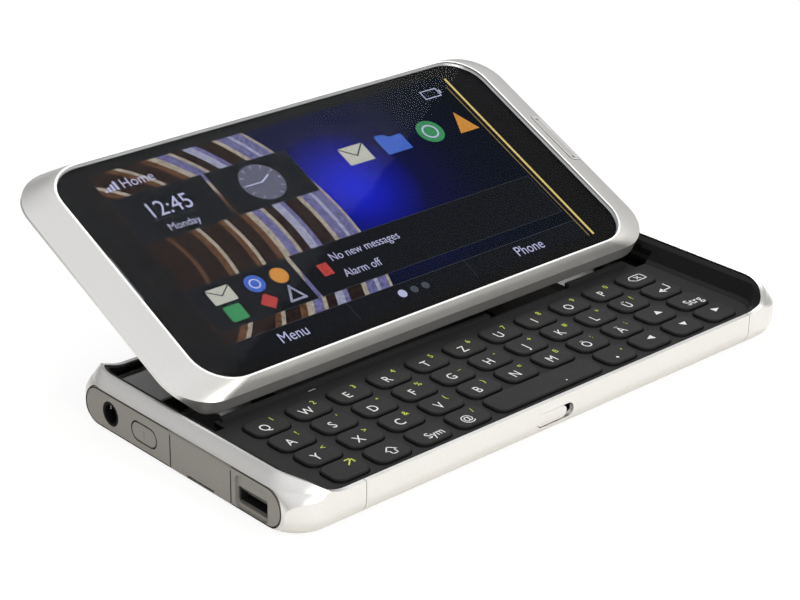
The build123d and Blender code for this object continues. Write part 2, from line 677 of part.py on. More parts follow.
lock_thumb_x = LOCK_X - LOCK_SLOT[0] / 2 + MOVE + LOCK_LENGTH / 2
lock_cap = control_outline(LOCK_LENGTH, LOCK_SLOT[1] - 2 * MOVE, lock_thumb_x)
lock_flange = Pos(lock_thumb_x, CONTROL_Z) * Rectangle(LOCK_LENGTH + 2, LOCK_SLOT[1] - 0.2)
volume_cap = control_outline(VOLUME_LENGTH, VOLUME_SLOT[1] - 2 * MOVE, VOLUME_X)
volume_flange = Pos(VOLUME_X, CONTROL_Z) * Rectangle(VOLUME_LENGTH + 2, VOLUME_SLOT[1] - 0.2)
shutter_cap = control_outline(SHUTTER[0], SHUTTER[1], SHUTTER_X)
shutter_flange = Pos(SHUTTER_X, CONTROL_Z) * Rectangle(SHUTTER[0] + 1.6, SHUTTER[1] - 0.2)
save("lock_slider", thumb(lock_cap, lock_flange, -1))
save("volume_slider", thumb(volume_cap, volume_flange, 1))
save("shutter_key", thumb(shutter_cap, shutter_flange, 1, sink=0.05))


# ---------------------------------------------------------------- SIM tray
sim_x = END_X
sim_half = SIM_W / 2


def sim_tray():
    door = along_x(Pos(SIM_Y, SIM_Z) * RectangleRounded(SIM_W + 1.2, SIM_DOOR_H, 0.8),
                   sim_x - WALL, sim_x) & tub_form(0, 0)
    tray = slab(sim_x - SIM_LENGTH, sim_x - WALL + 0.1, SIM_Y - sim_half, SIM_Y + sim_half,
                SIM_Z - SIM_H / 2, SIM_Z + SIM_H / 2)
    card_w, card_l = SIM_W - 2.2, SIM_LENGTH - 4.0
    tray -= slab(sim_x - SIM_LENGTH + 1.5, sim_x - SIM_LENGTH + card_l,
                 SIM_Y - card_w / 2, SIM_Y + card_w / 2, SIM_Z - 0.1, SIM_Z + SIM_H)
    return door + tray


save("sim_tray", sim_tray())


# ---------------------------------------------------------------- tub pieces
def screw_seat(x, y):
    seat = disc(SCREW_HEAD_R + FIT, x, y, -1, SCREW_SINK + SCREW_HEAD_H)
    return seat + disc(SCREW_R + FIT, x, y, -1, WALL + 1)


def cut_tub(part):
    part -= panel_cut(PANEL_T)
    slot = control_outline(*LOCK_SLOT, LOCK_X)
    part -= slot_cut(slot, -1)
    part -= slot_cut(control_outline(*VOLUME_SLOT, VOLUME_X), 1)
    part -= slot_cut(control_outline(SHUTTER[0] + 2 * MOVE, SHUTTER[1] + 2 * MOVE, SHUTTER_X), 1)
    door = RectangleRounded(SIM_W + 1.2 + 2 * FIT, SIM_DOOR_H + 2 * FIT, 0.8 + FIT)
    part -= along_x(Pos(SIM_Y, SIM_Z) * door, sim_x - WALL - 1, sim_x + 1)
    part -= along_x(Pos(MIC_Y, CONTROL_Z) * Circle(MIC_R), sim_x - WALL - 1, sim_x + 1)
    part -= plate(WINDOW[0] + 2 * FIT, WINDOW[1] + 2 * FIT, WINDOW[0] / 2 + FIT - 0.01,
                  -1, WINDOW[2] + FIT, CAMERA_XY[0], WINDOW_Y)
    part -= disc(LENS_R + 2 * FIT, *CAMERA_XY, -1, WALL + 1)
    for y in FLASH_Y:
        part -= disc(FLASH_R + 2 * FIT, CAMERA_XY[0], y, -1, WALL + 1)
    part -= plate(GRILLE[0] + 2 * FIT, GRILLE[1] + 2 * FIT, 1.5, -1, GRILLE[2] + FIT, *SPEAKER_XY)
    part -= plate(GRILLE[0] - 2, GRILLE[1] - 2, 1.0, -1, WALL + 1, *SPEAKER_XY)
    for x, y in BOARD_SCREWS + END_SCREWS:
        part -= screw_seat(x, y)
    return part


left_x = SEAM_LEFT_X - SEAM / 2
right_x = SEAM_RIGHT_X + SEAM / 2
middle_span = slab(SEAM_LEFT_X + SEAM / 2, SEAM_RIGHT_X - SEAM / 2, -DEPTH, DEPTH, -1, 20)
tub_cut = cut_tub(tub)
save("base_shell", tub_cut & middle_span)
save("end_cap_left", tub_cut & slab(-LENGTH, left_x, -DEPTH, DEPTH, -1, 20))
save("end_cap_right", tub_cut & slab(right_x, LENGTH, -DEPTH, DEPTH, -1, 20))


# ---------------------------------------------------------------- base internals
def well_plate():
    """Floor of the rear well: a raised tray over the battery between two brackets."""
    top = BATTERY_Z[1] + FIT + WELL_PLATE_T
    web_x = EAR_IN[0] - 0.3
    front, back = DECK_EDGE_Y + FIT, WELL_EDGE_Y - FIT
    tray = slab(-web_x, web_x, front, back - 1.3, top - WELL_PLATE_T, top)
    foot = WALL + 2 * FIT
    tray += slab(-web_x, -web_x + 0.6, front, back - 2.2, foot, top - 0.1)
    tray += slab(web_x - 0.6, web_x, front, back - 2.2, foot, top - 0.1)
    return tray


def main_board():
    board = slab(-BOARD_X, BOARD_X, *BOARD_Y, BOARD_Z, BOARD_Z + BOARD_T)
    for x, y in BOARD_SCREWS:
        board -= disc(SCREW_R + FIT, x, y, BOARD_Z - 1, BOARD_Z + BOARD_T + 1)
    return board


def shield_can(x0, x1, y0, y1):
    z1 = BOARD_Z - 0.02
    z0 = z1 - CAN_H
    can = slab(x0, x1, y0, y1, z0, z1)
    return can - slab(x0 + SHEET_T, x1 - SHEET_T, y0 + SHEET_T, y1 - SHEET_T, z0 + SHEET_T, z1 + 1)


def camera_module():
    x, y = CAMERA_XY
    half = CAMERA_SIZE / 2
    foot = WALL + FIT
    body = slab(x - half, x + half, y - half, y + half, foot, CAMERA_TOP_Z)
    body += disc(LENS_R, x, y, WINDOW[2] + 2 * FIT, foot + 0.2)
    return body


def camera_window():
    return plate(WINDOW[0], WINDOW[1], WINDOW[0] / 2 - 0.01, 0.02, WINDOW[2],
                 CAMERA_XY[0], WINDOW_Y)


def speaker_grille():
    grille = plate(*GRILLE[:2], 1.4, 0.02, GRILLE[2], *SPEAKER_XY)
    pitch = 1.1
    for step in range(-2, 3):
        slot_x = SPEAKER_XY[0] + step * pitch
        grille -= Pos(slot_x, SPEAKER_XY[1], 0) * Box(0.5, GRILLE[1] - 3, 4)
    return grille


def loudspeaker():
    width, length, height = SPEAKER
    foot = WALL + FIT
    body = plate(width, length, 1.2, foot, foot + height, *SPEAKER_XY)
    return chamfer(body.faces().sort_by(Axis.Z)[-1].edges(), 0.4)


def screw(x, y, head_z, tip_z):
    head = disc(SCREW_HEAD_R, x, y, head_z, head_z + SCREW_HEAD_H)
    shank = disc(SCREW_R, x, y, head_z, tip_z)
    slot = Pos(x, y, head_z) * Box(1.6, 0.35, 0.5)
    cross = Pos(x, y, head_z) * Box(0.35, 1.6, 0.5)
    return head + shank - slot - cross


save("well_plate", well_plate())
save("main_board", main_board())
can_y = (BOARD_Y[0] + 2.0, BOARD_Y[0] + 9.5, BOARD_Y[0] + 11.5, BOARD_Y[1] - 1.1)
cans = [shield_can(10.0 - BOARD_X, -8.0, can_y[2], can_y[3]),
        shield_can(-4.0, BOARD_X - 16.0, can_y[2], can_y[3]),
        shield_can(16.0 - BOARD_X, 6.0, can_y[0], can_y[1])]
save("shield_cans", cans)
cell = slab(-BATTERY_X, BATTERY_X, *BATTERY_Y, *BATTERY_Z)
save("battery", fillet(cell.edges(), BATTERY_EDGE))
save("camera_module", camera_module())
save("camera_window", camera_window())
flash = [disc(FLASH_R, CAMERA_XY[0], y, WINDOW[2] + 2 * FIT, 2.1) for y in FLASH_Y]
save("flash_leds", flash)
save("loudspeaker", loudspeaker())
save("speaker_grille", speaker_grille())
save("vibration_motor", disc(BUZZER_R, *BUZZER_XY, WALL + FIT, WALL + FIT + BUZZER_H))
base_screws = [screw(x, y, SCREW_SINK, WALL + 1.6) for x, y in BOARD_SCREWS + END_SCREWS]
save("base_screws", base_screws)


# ---------------------------------------------------------------- display half, drawn flat
def open_place():
    return Pos(0, OPEN_Y, OPEN_Z) * Rot(TILT, 0, 0)


def save_open(name, solids):
    if not isinstance(solids, list):
        solids = [solids]
    save(name, [open_place() * solid for solid in solids])


display_shift = HALF_GAP - CLOSED_HEIGHT
display_bottom = -DISPLAY_T
screw_places = [(x, y) for x in (-DISPLAY_SCREW_X, DISPLAY_SCREW_X)
                for y in (-DISPLAY_SCREW_Y, DISPLAY_SCREW_Y)]


def display_top():
    """Domed top of the frame: wide sloping ends and steeper long sides."""
    sections = []
    steps = 5
    for step in range(steps):
        share = step / (steps - 1)
        end_share = share ** END_CURVE
        side_share = share ** SIDE_CURVE
        half_x = BAND_TOP_X + (DISPLAY_LENGTH / 2 - BAND_TOP_X) * end_share
        half_y = BAND_TOP_Y + (DISPLAY_DEPTH / 2 - BAND_TOP_Y) * side_share
        radius = BAND_TOP_R + (DISPLAY_R - BAND_TOP_R) * side_share
        outline = RectangleRounded(2 * half_x, 2 * half_y, radius)
        sections.append(Pos(0, 0, -EDGE_TOP * share) * outline)
    return loft(sections)


def band_height(x):
    """Height of the sloping end band at this distance from the display's middle."""
    share = (x - BAND_TOP_X) / (DISPLAY_LENGTH / 2 - BAND_TOP_X)
    return -EDGE_TOP * share ** (1 / END_CURVE)


home_foot = band_height(HOME_X) - HOME_H + HOME_PROUD


def display_lower():
    body = plate(DISPLAY_LENGTH, DISPLAY_DEPTH, DISPLAY_R, display_bottom, -EDGE_TOP)
    body = fillet(body.edges().group_by(Axis.Z)[0], UNDER_R)
    return body & above_saddle(display_shift)


def cover_zone(thickness, grow):
    """Layer over the parting surface, inside the frame's rounded underside."""
    inset = COVER_INSET - grow
    zone = plate(2 * (COVER_END_X + grow), DISPLAY_DEPTH - 2 * inset, DISPLAY_R - inset,
                 display_bottom - 1, 0)
    return zone & (above_saddle(display_shift) - above_saddle(display_shift + thickness))


def display_frame():
    frame = display_top() + display_lower()
    pocket_z = -GLASS_SINK - GLASS_T - COVER_GAP
    frame -= plate(GLASS_L + 2 * GLASS_GAP, GLASS_D + 2 * GLASS_GAP, GLASS_R + GLASS_GAP,
                   pocket_z, 1)
    inner = plate(GLASS_L - 2 * LEDGE_X, GLASS_D - 2 * LEDGE_Y, GLASS_R - LEDGE_Y,
                  display_bottom - 1, 1)
    frame -= inner
    frame -= cover_zone(COVER_T + COVER_GAP, COVER_GAP)
    pit = RectangleRounded(HOME[0] + 2 * MOVE, HOME[1] + 2 * MOVE, HOME_R + MOVE)
    frame -= Pos(HOME_X, HOME_Y, home_foot - HOME_TRAVEL) * extrude(pit, EDGE_TOP * 2)
    return frame


def home_key():
    """Long bar set in the sloping band at the right end, following its slope."""
    x_in, x_out = HOME_X - HOME[0] / 2, HOME_X + HOME[0] / 2
    z_in = band_height(x_in) + HOME_PROUD
    z_out = band_height(x_out) + HOME_PROUD
    side = make_face(Polyline((x_in, home_foot), (x_out, home_foot), (x_out, z_out),
                              (x_in, z_in), close=True))
    key = along_y(side, HOME_Y - HOME[1] / 2, HOME_Y + HOME[1] / 2)
    key &= Pos(HOME_X, HOME_Y, -5) * extrude(RectangleRounded(*HOME, HOME_R), 10)
    return key


def cover_glass():
    glass = plate(GLASS_L, GLASS_D, GLASS_R, -GLASS_SINK - GLASS_T, -GLASS_SINK)
    glass = chamfer(glass.faces().sort_by(Axis.Z)[-1].edges(), GLASS_EDGE)
    slot_w, slot_l = EAR_SLOT
    x0 = -GLASS_L / 2
    return glass - slab(x0 - 1, x0 + slot_w, -slot_l / 2, slot_l / 2, -2, 1)


panel_top = -GLASS_SINK - GLASS_T - STACK_GAP / 2
panel_bottom = panel_top - PANEL_SIZE[2]
chassis_top = panel_bottom - STACK_GAP / 2
chassis_bottom = chassis_top - CHASSIS_T


def display_panel():
    length, depth, thick = PANEL_SIZE
    return plate(length, depth, 0.8, panel_bottom, panel_top, PANEL_SHIFT_X)


def display_chassis():
    """Metal plate under the panel with the ears that carry the display's pivots."""
    length, depth = CHASSIS_SIZE
    chassis = plate(length, depth, 3.0, chassis_bottom, chassis_top)
    chassis -= slab(-length, EARPIECE_X + EARPIECE[0] / 2 + 0.4, -depth, depth,
                    chassis_bottom - 1, chassis_top + 1)
    for sign in (1, -1):
        for ear in (EAR_IN, EAR_MID, EAR_OUT):
            v0 = ARM_V - EAR_REACH if ear is not EAR_IN else LINK_V - EAR_REACH
            v1 = LINK_V + EAR_REACH if ear is not EAR_OUT else ARM_V + EAR_REACH
            low = LINK_W - SLIM_PIN_R if ear is not EAR_OUT else ARM_W - PIN_R
            x0, x1 = sorted((sign * ear[0], sign * ear[1]))
            chassis += slab(x0, x1, v0, v1, low - PIN_WALL, chassis_top - 0.1)
        chassis -= rod_x(SLIM_PIN_R + PIN_SEAT, sign * (EAR_IN[0] - 1),
                         sign * (EAR_MID[1] + 0.01), LINK_V, LINK_W)
        chassis -= rod_x(PIN_R + PIN_SEAT, sign * (EAR_MID[0] - 0.01), sign * (EAR_OUT[1] + 1),
                         ARM_V, ARM_W)
    return chassis


def back_cover():
    cover = cover_zone(COVER_T, 0)
    low, high = display_bottom - 1, -EDGE_TOP
    for sign in (1, -1):
        x0, x1 = sorted((sign * (EAR_IN[0] - 0.5), sign * (EAR_OUT[1] + 0.5)))
        cover -= slab(x0, x1, ARM_V - 6.0, LINK_V + 16.5, low, high)
    x0, x1 = FLEX_X
    cover -= slab(x0 - 0.5, x1 + 0.5, FLEX_HEAD_V - 1.2, FLEX_HEAD_V + 1.2, low, high)
    for x, y in screw_places:
        cover -= disc(SCREW_HEAD_R + FIT, x, y, low, display_bottom + SCREW_SINK + SCREW_HEAD_H)
        cover -= disc(SCREW_R + FIT, x, y, low, high)
    return cover


def earpiece():
    width, length, height = EARPIECE
    top = panel_top - 0.1
    return plate(width, length, 0.6, top - height, top, EARPIECE_X)


def earpiece_mesh():
    slot_w, slot_l = EAR_SLOT
    x0 = -GLASS_L / 2 - GLASS_GAP / 2
    return slab(x0, x0 + slot_w, -slot_l / 2 + FIT, slot_l / 2 - FIT,
                -GLASS_SINK - GLASS_T + 0.2, -GLASS_SINK - 0.3)


def display_screw(x, y):
    head_z = display_bottom + SCREW_SINK
    return screw(x, y, head_z, chassis_bottom - 0.2)


save_open("display_frame", display_frame())
save_open("home_key", home_key())
save_open("cover_glass", cover_glass())
save_open("display_panel", display_panel())
save_open("display_chassis", display_chassis())
save_open("back_cover", back_cover())
save_open("earpiece", earpiece())
save_open("earpiece_mesh", earpiece_mesh())
camera_top = panel_top - 0.05
save_open("front_camera", disc(FRONT_CAMERA_R, *FRONT_CAMERA_XY, camera_top - 1.5, camera_top))
display_arm_pin = rod_x(PIN_R, EAR_MID[0] + EAR_T / 2, EAR_OUT[1], ARM_V, ARM_W)
display_link_pin = rod_x(SLIM_PIN_R, EAR_IN[0], EAR_MID[1], LINK_V, LINK_W)
save_open("display_pivot_pins", both_sides(display_arm_pin) + both_sides(display_link_pin))
save_open("display_screws", [display_screw(x, y) for x, y in screw_places])


# ---------------------------------------------------------------- flat cable
def flex_cable():
    """Flat cable from the rear well up into the display, drawn as it lies when open."""
    foot_y, foot_z = FLEX_FOOT
    head = placed_open(FLEX_HEAD_V, display_bottom + COVER_T / 2)
    bend = (foot_y + 0.7 * (head[0] - foot_y), foot_z + 0.25 * (head[1] - foot_z))
    start = (DECK_EDGE_Y - LIP_T + FIT, foot_z)
    path = FilletPolyline(start, (foot_y, foot_z), bend, head, radius=FLEX_BEND)
    ribbon = make_face(offset(path, FLEX_T / 2, kind=Kind.ARC))
    return along_x(ribbon, *FLEX_X)


save("flex_cable", flex_cable())

print("arm base", ARM_BASE, "tip", ARM_TIP, "length", math.dist(ARM_BASE, ARM_TIP))
print("link base", LINK_BASE, "tip", LINK_TIP, "length", math.dist(LINK_BASE, LINK_TIP))
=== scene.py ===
import math

import bmesh
import bpy
from mathutils import Matrix, Vector


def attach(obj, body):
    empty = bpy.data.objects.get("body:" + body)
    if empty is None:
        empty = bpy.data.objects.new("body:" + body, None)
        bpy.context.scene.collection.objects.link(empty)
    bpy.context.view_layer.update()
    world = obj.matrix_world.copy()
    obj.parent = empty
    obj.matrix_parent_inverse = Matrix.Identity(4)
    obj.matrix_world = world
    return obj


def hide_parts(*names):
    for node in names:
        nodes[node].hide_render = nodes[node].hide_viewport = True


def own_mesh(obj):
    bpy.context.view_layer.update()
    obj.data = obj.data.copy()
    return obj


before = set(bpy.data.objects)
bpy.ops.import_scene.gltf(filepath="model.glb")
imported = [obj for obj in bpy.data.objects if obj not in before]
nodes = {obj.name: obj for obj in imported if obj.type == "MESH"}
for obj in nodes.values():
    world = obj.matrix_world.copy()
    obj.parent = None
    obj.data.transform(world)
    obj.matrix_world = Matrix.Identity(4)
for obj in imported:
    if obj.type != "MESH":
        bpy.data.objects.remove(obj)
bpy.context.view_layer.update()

MM = 0.001

# ---------------------------------------------------------------- places, in millimetres
TILT = math.radians(25.8)
OPEN_Y = 26.4
OPEN_Z = 26.0
KEY_TOP = 7.2
KEY_PITCH_X = 9.41
KEY_PITCH_Y = 6.82
ROW_1_Y = -5.1
DECK_Z = 6.6
LEFT_END_X = -61.85
JACK = (20.2, 4.4)
POWER = (10.3, 4.25)
DECK_LEVEL = (6.42, 7.32)       # heights between which the deck keeps its own colour; its walls and recesses are painted darker as shade
DECK_SPAN = 12.0                # height that the deck's colour ramp covers
FLAP_SIDES = (13.78, -2.78)     # edges of the port flap in the left end's own X
FLAP_HEIGHTS = (1.2, 7.1)
PANEL_HEIGHTS = (1.0, 8.0)
PANEL_BREAK = (14.2, -3.2)      # the panel's seam stops beside the flap
HOME_MIDDLE = (57.2, 0.8, -1.105)
HOME_SLOPE = math.radians(20.7)

SCREEN_U = (-44.6, 43.9)
SCREEN_V = (-24.8, 25.0)
MASK_W = -0.89
ART_W = -0.872
LAYER = 0.004
GLOW_MIDDLE = (4.0, 4.6, ART_W)
GLOW_REACH = 45.0

CABLE_X = (16.0, 33.0)
CABLE_CORNERS = ((1.5, 5.95), (12.0, 5.95), (18.78, 8.81), (21.68, 17.39))
CABLE_BEND = 4.0
CABLE_TRACKS = 34

DISPLAY_PLACE = Matrix.Translation((0, OPEN_Y, OPEN_Z)) @ Matrix.Rotation(TILT, 4, "X")
LEFT_PLACE = Matrix.Translation((LEFT_END_X, 0, 0)) @ Matrix(
    ((0, 0, -1, 0), (-1, 0, 0, 0), (0, 1, 0, 0), (0, 0, 0, 1)))


# ---------------------------------------------------------------- material helpers
NOISE_LOW, NOISE_HIGH = 0.3, 0.7        # values between which nearly all of the noise lies


def new_material(name):
    mat = bpy.data.materials.new(name)
    mat.use_nodes = True
    nt = mat.node_tree
    nt.nodes.clear()
    out = nt.nodes.new("ShaderNodeOutputMaterial")
    return mat, nt, out


def add(nt, kind, **values):
    node = nt.nodes.new(kind)
    for key, value in values.items():
        if key in node.inputs:
            node.inputs[key].default_value = value
        else:
            setattr(node, key, value)
    return node


def principled(nt, out, color, rough, metallic=0.0, **sockets):
    shader = nt.nodes.new("ShaderNodeBsdfPrincipled")
    shader.inputs["Base Color"].default_value = (*color, 1)
    shader.inputs["Roughness"].default_value = rough
    shader.inputs["Metallic"].default_value = metallic
    for key, value in sockets.items():
        shader.inputs[key.replace("_", " ")].default_value = value
    nt.links.new(shader.outputs[0], out.inputs[0])
    return shader


def color_ramp(nt, source, steps, interpolation="LINEAR"):
    """Colour that follows a value, from pairs of a position and a colour."""
    ramp = nt.nodes.new("ShaderNodeValToRGB")
    ramp.color_ramp.interpolation = interpolation
    stops = ramp.color_ramp.elements
    for stop, (position, color) in zip(stops, (steps[0], steps[-1])):
        stop.position, stop.color = position, (*color, 1)
    for position, color in steps[1:-1]:
        stops.new(position).color = (*color, 1)
    nt.links.new(source, ramp.inputs[0])
    return ramp.outputs[0]


def map_range(nt, source, **limits):
    """A value carried from one range to another, each 0 to 1 unless told otherwise."""
    span = nt.nodes.new("ShaderNodeMapRange")
    for key, value in limits.items():
        span.inputs[key.replace("_", " ")].default_value = value
    nt.links.new(source, span.inputs[0])
    return span.outputs[0]


def mix_shaders(nt, factor, first, second):
    """The first shader where the factor is 0 and the second where it is 1."""
    mix = nt.nodes.new("ShaderNodeMixShader")
    nt.links.new(factor, mix.inputs[0])
    nt.links.new(first, mix.inputs[1])
    nt.links.new(second, mix.inputs[2])
    return mix.outputs[0]


def noise(nt, scale, detail=2.0):
    coords = nt.nodes.new("ShaderNodeTexCoord")
    tex = add(nt, "ShaderNodeTexNoise", Scale=scale, Detail=detail)
    nt.links.new(coords.outputs["Object"], tex.inputs[0])
    return tex


def vary_color(nt, shader, tex, low, high, socket="Base Color"):
    color = color_ramp(nt, tex.outputs[0], ((NOISE_LOW, low), (NOISE_HIGH, high)))
    nt.links.new(color, shader.inputs[socket])


def vary_rough(nt, shader, tex, low, high):
    rough = map_range(nt, tex.outputs[0], From_Min=NOISE_LOW, From_Max=NOISE_HIGH,
                      To_Min=low, To_Max=high)
    nt.links.new(rough, shader.inputs["Roughness"])


def bump(nt, shader, tex, strength, distance):
    node = add(nt, "ShaderNodeBump", Strength=strength, Distance=distance)
    nt.links.new(tex.outputs[0], node.inputs["Height"])
    nt.links.new(node.outputs[0], shader.inputs["Normal"])


# ---------------------------------------------------------------- materials
def finish_material(name, low, high, rough, metallic, grain, depth, **sockets):
    """A moulded or painted finish: colour and roughness vary a little, with a fine grain."""
    mat, nt, out = new_material(name)
    mean = tuple((a + b) / 2 for a, b in zip(low, high))
    shader = principled(nt, out, mean, rough, metallic, **sockets)
    soft = noise(nt, 180.0)
    fine = noise(nt, grain, 3.0)
    vary_color(nt, shader, fine, low, high)
    vary_rough(nt, shader, soft, rough * 0.93, rough * 1.07)
    bump(nt, shader, fine, 0.25, depth)
    return mat


def lit_material(name, low, high, grain=2500.0):
    """Light from the screen, a little uneven like a pixel grid."""
    mat, nt, out = new_material(name)
    shader = principled(nt, out, (0.004, 0.004, 0.005), 0.4)
    shader.inputs["Specular IOR Level"].default_value = 0.0
    shader.inputs["Emission Strength"].default_value = 1.0
    vary_color(nt, shader, noise(nt, grain), low, high, "Emission Color")
    return mat


silver = finish_material("silver_lacquer", (0.7, 0.695, 0.68), (0.8, 0.795, 0.78), 0.34, 0.85,
                         9000.0, 0.00001)
# near white and not metal: the highlight painted on bright edges
edge_highlight = finish_material("painted_edge_highlight", (0.9, 0.9, 0.9), (0.95, 0.95, 0.95), 0.3, 0.0,
                           9000.0, 0.000002)
taupe = finish_material("taupe_plastic", (0.22, 0.207, 0.19), (0.25, 0.237, 0.22), 0.5, 0.0,
                        5000.0, 0.000006, Specular_IOR_Level=0.3)
key_black = finish_material("key_plastic", (0.006, 0.006, 0.0065), (0.009, 0.009, 0.0095), 0.5,
                            0.0, 7000.0, 0.000006, Specular_IOR_Level=0.22)
cover_grey = finish_material("cover_lacquer", (0.22, 0.222, 0.225), (0.27, 0.272, 0.275), 0.4, 0.4,
                             8000.0, 0.000008)
black_plain = finish_material("inner_plastic", (0.004, 0.004, 0.004), (0.007, 0.007, 0.007), 0.6,
                              0.0, 5000.0, 0.00001, Specular_IOR_Level=0.08)
steel = finish_material("black_steel", (0.02, 0.02, 0.021), (0.04, 0.04, 0.041), 0.5, 0.5,
                        4000.0, 0.000006)
dark_pin = finish_material("dark_pin", (0.07, 0.07, 0.072), (0.1, 0.1, 0.102), 0.3, 1.0,
                           4000.0, 0.000004)
dark_plated = finish_material("dark_plated", (0.05, 0.05, 0.052), (0.08, 0.08, 0.082), 0.3, 0.8,
                              3000.0, 0.000004)
pin_steel = finish_material("pin_steel", (0.42, 0.42, 0.43), (0.52, 0.52, 0.53), 0.22, 1.0,
                            4000.0, 0.000004)
plated = finish_material("plated_sheet", (0.42, 0.42, 0.42), (0.52, 0.52, 0.52), 0.24, 1.0,
                         3000.0, 0.000006)
board = finish_material("solder_mask", (0.012, 0.06, 0.035), (0.02, 0.09, 0.05), 0.35, 0.0,
                        2500.0, 0.00002)
foil = finish_material("battery_foil", (0.45, 0.46, 0.47), (0.55, 0.56, 0.57), 0.4, 0.9, 1500.0,
                       0.00001)
lamp = finish_material("lamp_plastic", (0.72, 0.66, 0.38), (0.82, 0.77, 0.5), 0.2, 0.0, 3000.0,
                       0.000004)
window = finish_material("window_plastic", (0.008, 0.008, 0.009), (0.014, 0.014, 0.015), 0.1,
                         0.0, 2000.0, 0.000001)
film = finish_material("dome_film", (0.5, 0.5, 0.52), (0.6, 0.6, 0.62), 0.35, 0.0, 2000.0,
                       0.000004)
mesh_steel = finish_material("mesh_steel", (0.05, 0.05, 0.055), (0.1, 0.1, 0.105), 0.4, 1.0,
                             6000.0, 0.00002)
flex_film = finish_material("flex_film", (0.004, 0.004, 0.003), (0.007, 0.006, 0.005), 0.45, 0.0,
                            1500.0, 0.000006, Specular_IOR_Level=0.08)
screen_black = finish_material("panel_black", (0.0015, 0.0015, 0.0018), (0.0025, 0.0025, 0.003),
                               0.5, 0.0, 3000.0, 0.000001, Specular_IOR_Level=0.05)
print_white = finish_material("print_white", (0.62, 0.63, 0.64), (0.7, 0.71, 0.72), 0.6, 0.0,
                              5000.0, 0.000002, Specular_IOR_Level=0.2)
print_green = finish_material("print_green", (0.46, 0.53, 0.05), (0.54, 0.62, 0.08), 0.6, 0.0,
                              5000.0, 0.000002, Specular_IOR_Level=0.2)
light_text = lit_material("screen_text", (0.42, 0.43, 0.62), (0.5, 0.5, 0.7))
dim_text = lit_material("screen_dim", (0.055, 0.06, 0.075), (0.075, 0.08, 0.095))
panel_dark = lit_material("screen_panel", (0.004, 0.005, 0.006), (0.008, 0.009, 0.011))
panel_line = lit_material("screen_line", (0.028, 0.032, 0.04), (0.04, 0.045, 0.055))
gold = lit_material("screen_gold", (0.62, 0.47, 0.14), (0.8, 0.62, 0.24))
gold_dim = lit_material("screen_gold_dim", (0.22, 0.16, 0.06), (0.34, 0.25, 0.1))
cream = lit_material("screen_cream", (0.24, 0.2, 0.15), (0.42, 0.37, 0.3), 1200.0)
brown = lit_material("screen_brown", (0.06, 0.025, 0.01), (0.14, 0.07, 0.035), 1200.0)
dark_brown = lit_material("screen_umber", (0.008, 0.004, 0.003), (0.025, 0.014, 0.01), 1200.0)
purple = lit_material("screen_purple", (0.075, 0.07, 0.17), (0.18, 0.17, 0.34), 1200.0)
lilac = lit_material("screen_lilac", (0.22, 0.22, 0.33), (0.36, 0.36, 0.46), 1200.0)
icon_green = lit_material("screen_green", (0.03, 0.2, 0.07), (0.06, 0.3, 0.12))
icon_blue = lit_material("screen_blue", (0.03, 0.09, 0.42), (0.07, 0.16, 0.6))
icon_red = lit_material("screen_red", (0.35, 0.03, 0.03), (0.5, 0.07, 0.06))
icon_orange = lit_material("screen_orange", (0.5, 0.2, 0.03), (0.65, 0.3, 0.06))


def deck_material():
    """Matt black plastic in its own colour on the level of the deck, with its walls and the
    recesses below painted darker as shade.
    """
    mat, nt, out = new_material("deck_plastic")
    shader = principled(nt, out, (0.005, 0.005, 0.005), 0.55)
    shader.inputs["Specular IOR Level"].default_value = 0.12
    coords = nt.nodes.new("ShaderNodeTexCoord")
    parts = nt.nodes.new("ShaderNodeSeparateXYZ")
    nt.links.new(coords.outputs["Object"], parts.inputs[0])
    level = map_range(nt, parts.outputs["Z"], From_Max=DECK_SPAN * MM)
    low, high = (height / DECK_SPAN for height in DECK_LEVEL)
    # painted shade: walls and recesses darker than the deck's own colour on its level
    painted_shade, deck_tone = (0.004, 0.004, 0.004), (0.018, 0.018, 0.019)
    color = color_ramp(nt, level, ((0.0, painted_shade), (low, deck_tone), (high, painted_shade)), "CONSTANT")
    nt.links.new(color, shader.inputs["Base Color"])
    fine = noise(nt, 6000.0, 3.0)
    vary_rough(nt, shader, fine, 0.5, 0.6)
    bump(nt, shader, fine, 0.25, 0.000008)
    return mat


deck_black = deck_material()


def glow_material():
    """Blue glow that fades to black round one spot of the screen."""
    mat, nt, out = new_material("screen_glow")
    shader = principled(nt, out, (0.002, 0.002, 0.003), 0.4)
    shader.inputs["Specular IOR Level"].default_value = 0.0
    shader.inputs["Emission Strength"].default_value = 1.0
    coords = nt.nodes.new("ShaderNodeTexCoord")
    spot = DISPLAY_PLACE @ Vector(GLOW_MIDDLE) * MM
    apart = add(nt, "ShaderNodeVectorMath", operation="DISTANCE")
    apart.inputs[1].default_value = spot
    nt.links.new(coords.outputs["Object"], apart.inputs[0])
    share = map_range(nt, apart.outputs["Value"], From_Max=GLOW_REACH * MM)
    color = color_ramp(nt, share, (
        (0.0, (0.01, 0.018, 0.6)), (0.08, (0.009, 0.016, 0.5)), (0.2, (0.006, 0.009, 0.24)),
        (0.34, (0.005, 0.006, 0.045)), (0.6, (0.004, 0.006, 0.016)), (1.0, (0.004, 0.006, 0.007))))
    nt.links.new(color, shader.inputs["Emission Color"])
    return mat


def glass_material():
    """Clear cover glass: what is under it shows, and only its outer faces reflect."""
    mat, nt, out = new_material("cover_glass")
    clear = add(nt, "ShaderNodeBsdfTransparent")
    clear.inputs[0].default_value = (0.96, 0.97, 0.98, 1)
    gloss = nt.nodes.new("ShaderNodeBsdfGlossy")
    smear = map_range(nt, noise(nt, 60.0).outputs[0], To_Min=0.015, To_Max=0.045)
    nt.links.new(smear, gloss.inputs["Roughness"])
    fresnel = add(nt, "ShaderNodeFresnel", IOR=1.08)
    front = mix_shaders(nt, fresnel.outputs[0], clear.outputs[0], gloss.outputs[0])
    side = nt.nodes.new("ShaderNodeNewGeometry")
    both = mix_shaders(nt, side.outputs["Backfacing"], front, clear.outputs[0])
    nt.links.new(both, out.inputs[0])
    return mat


glass = glass_material()

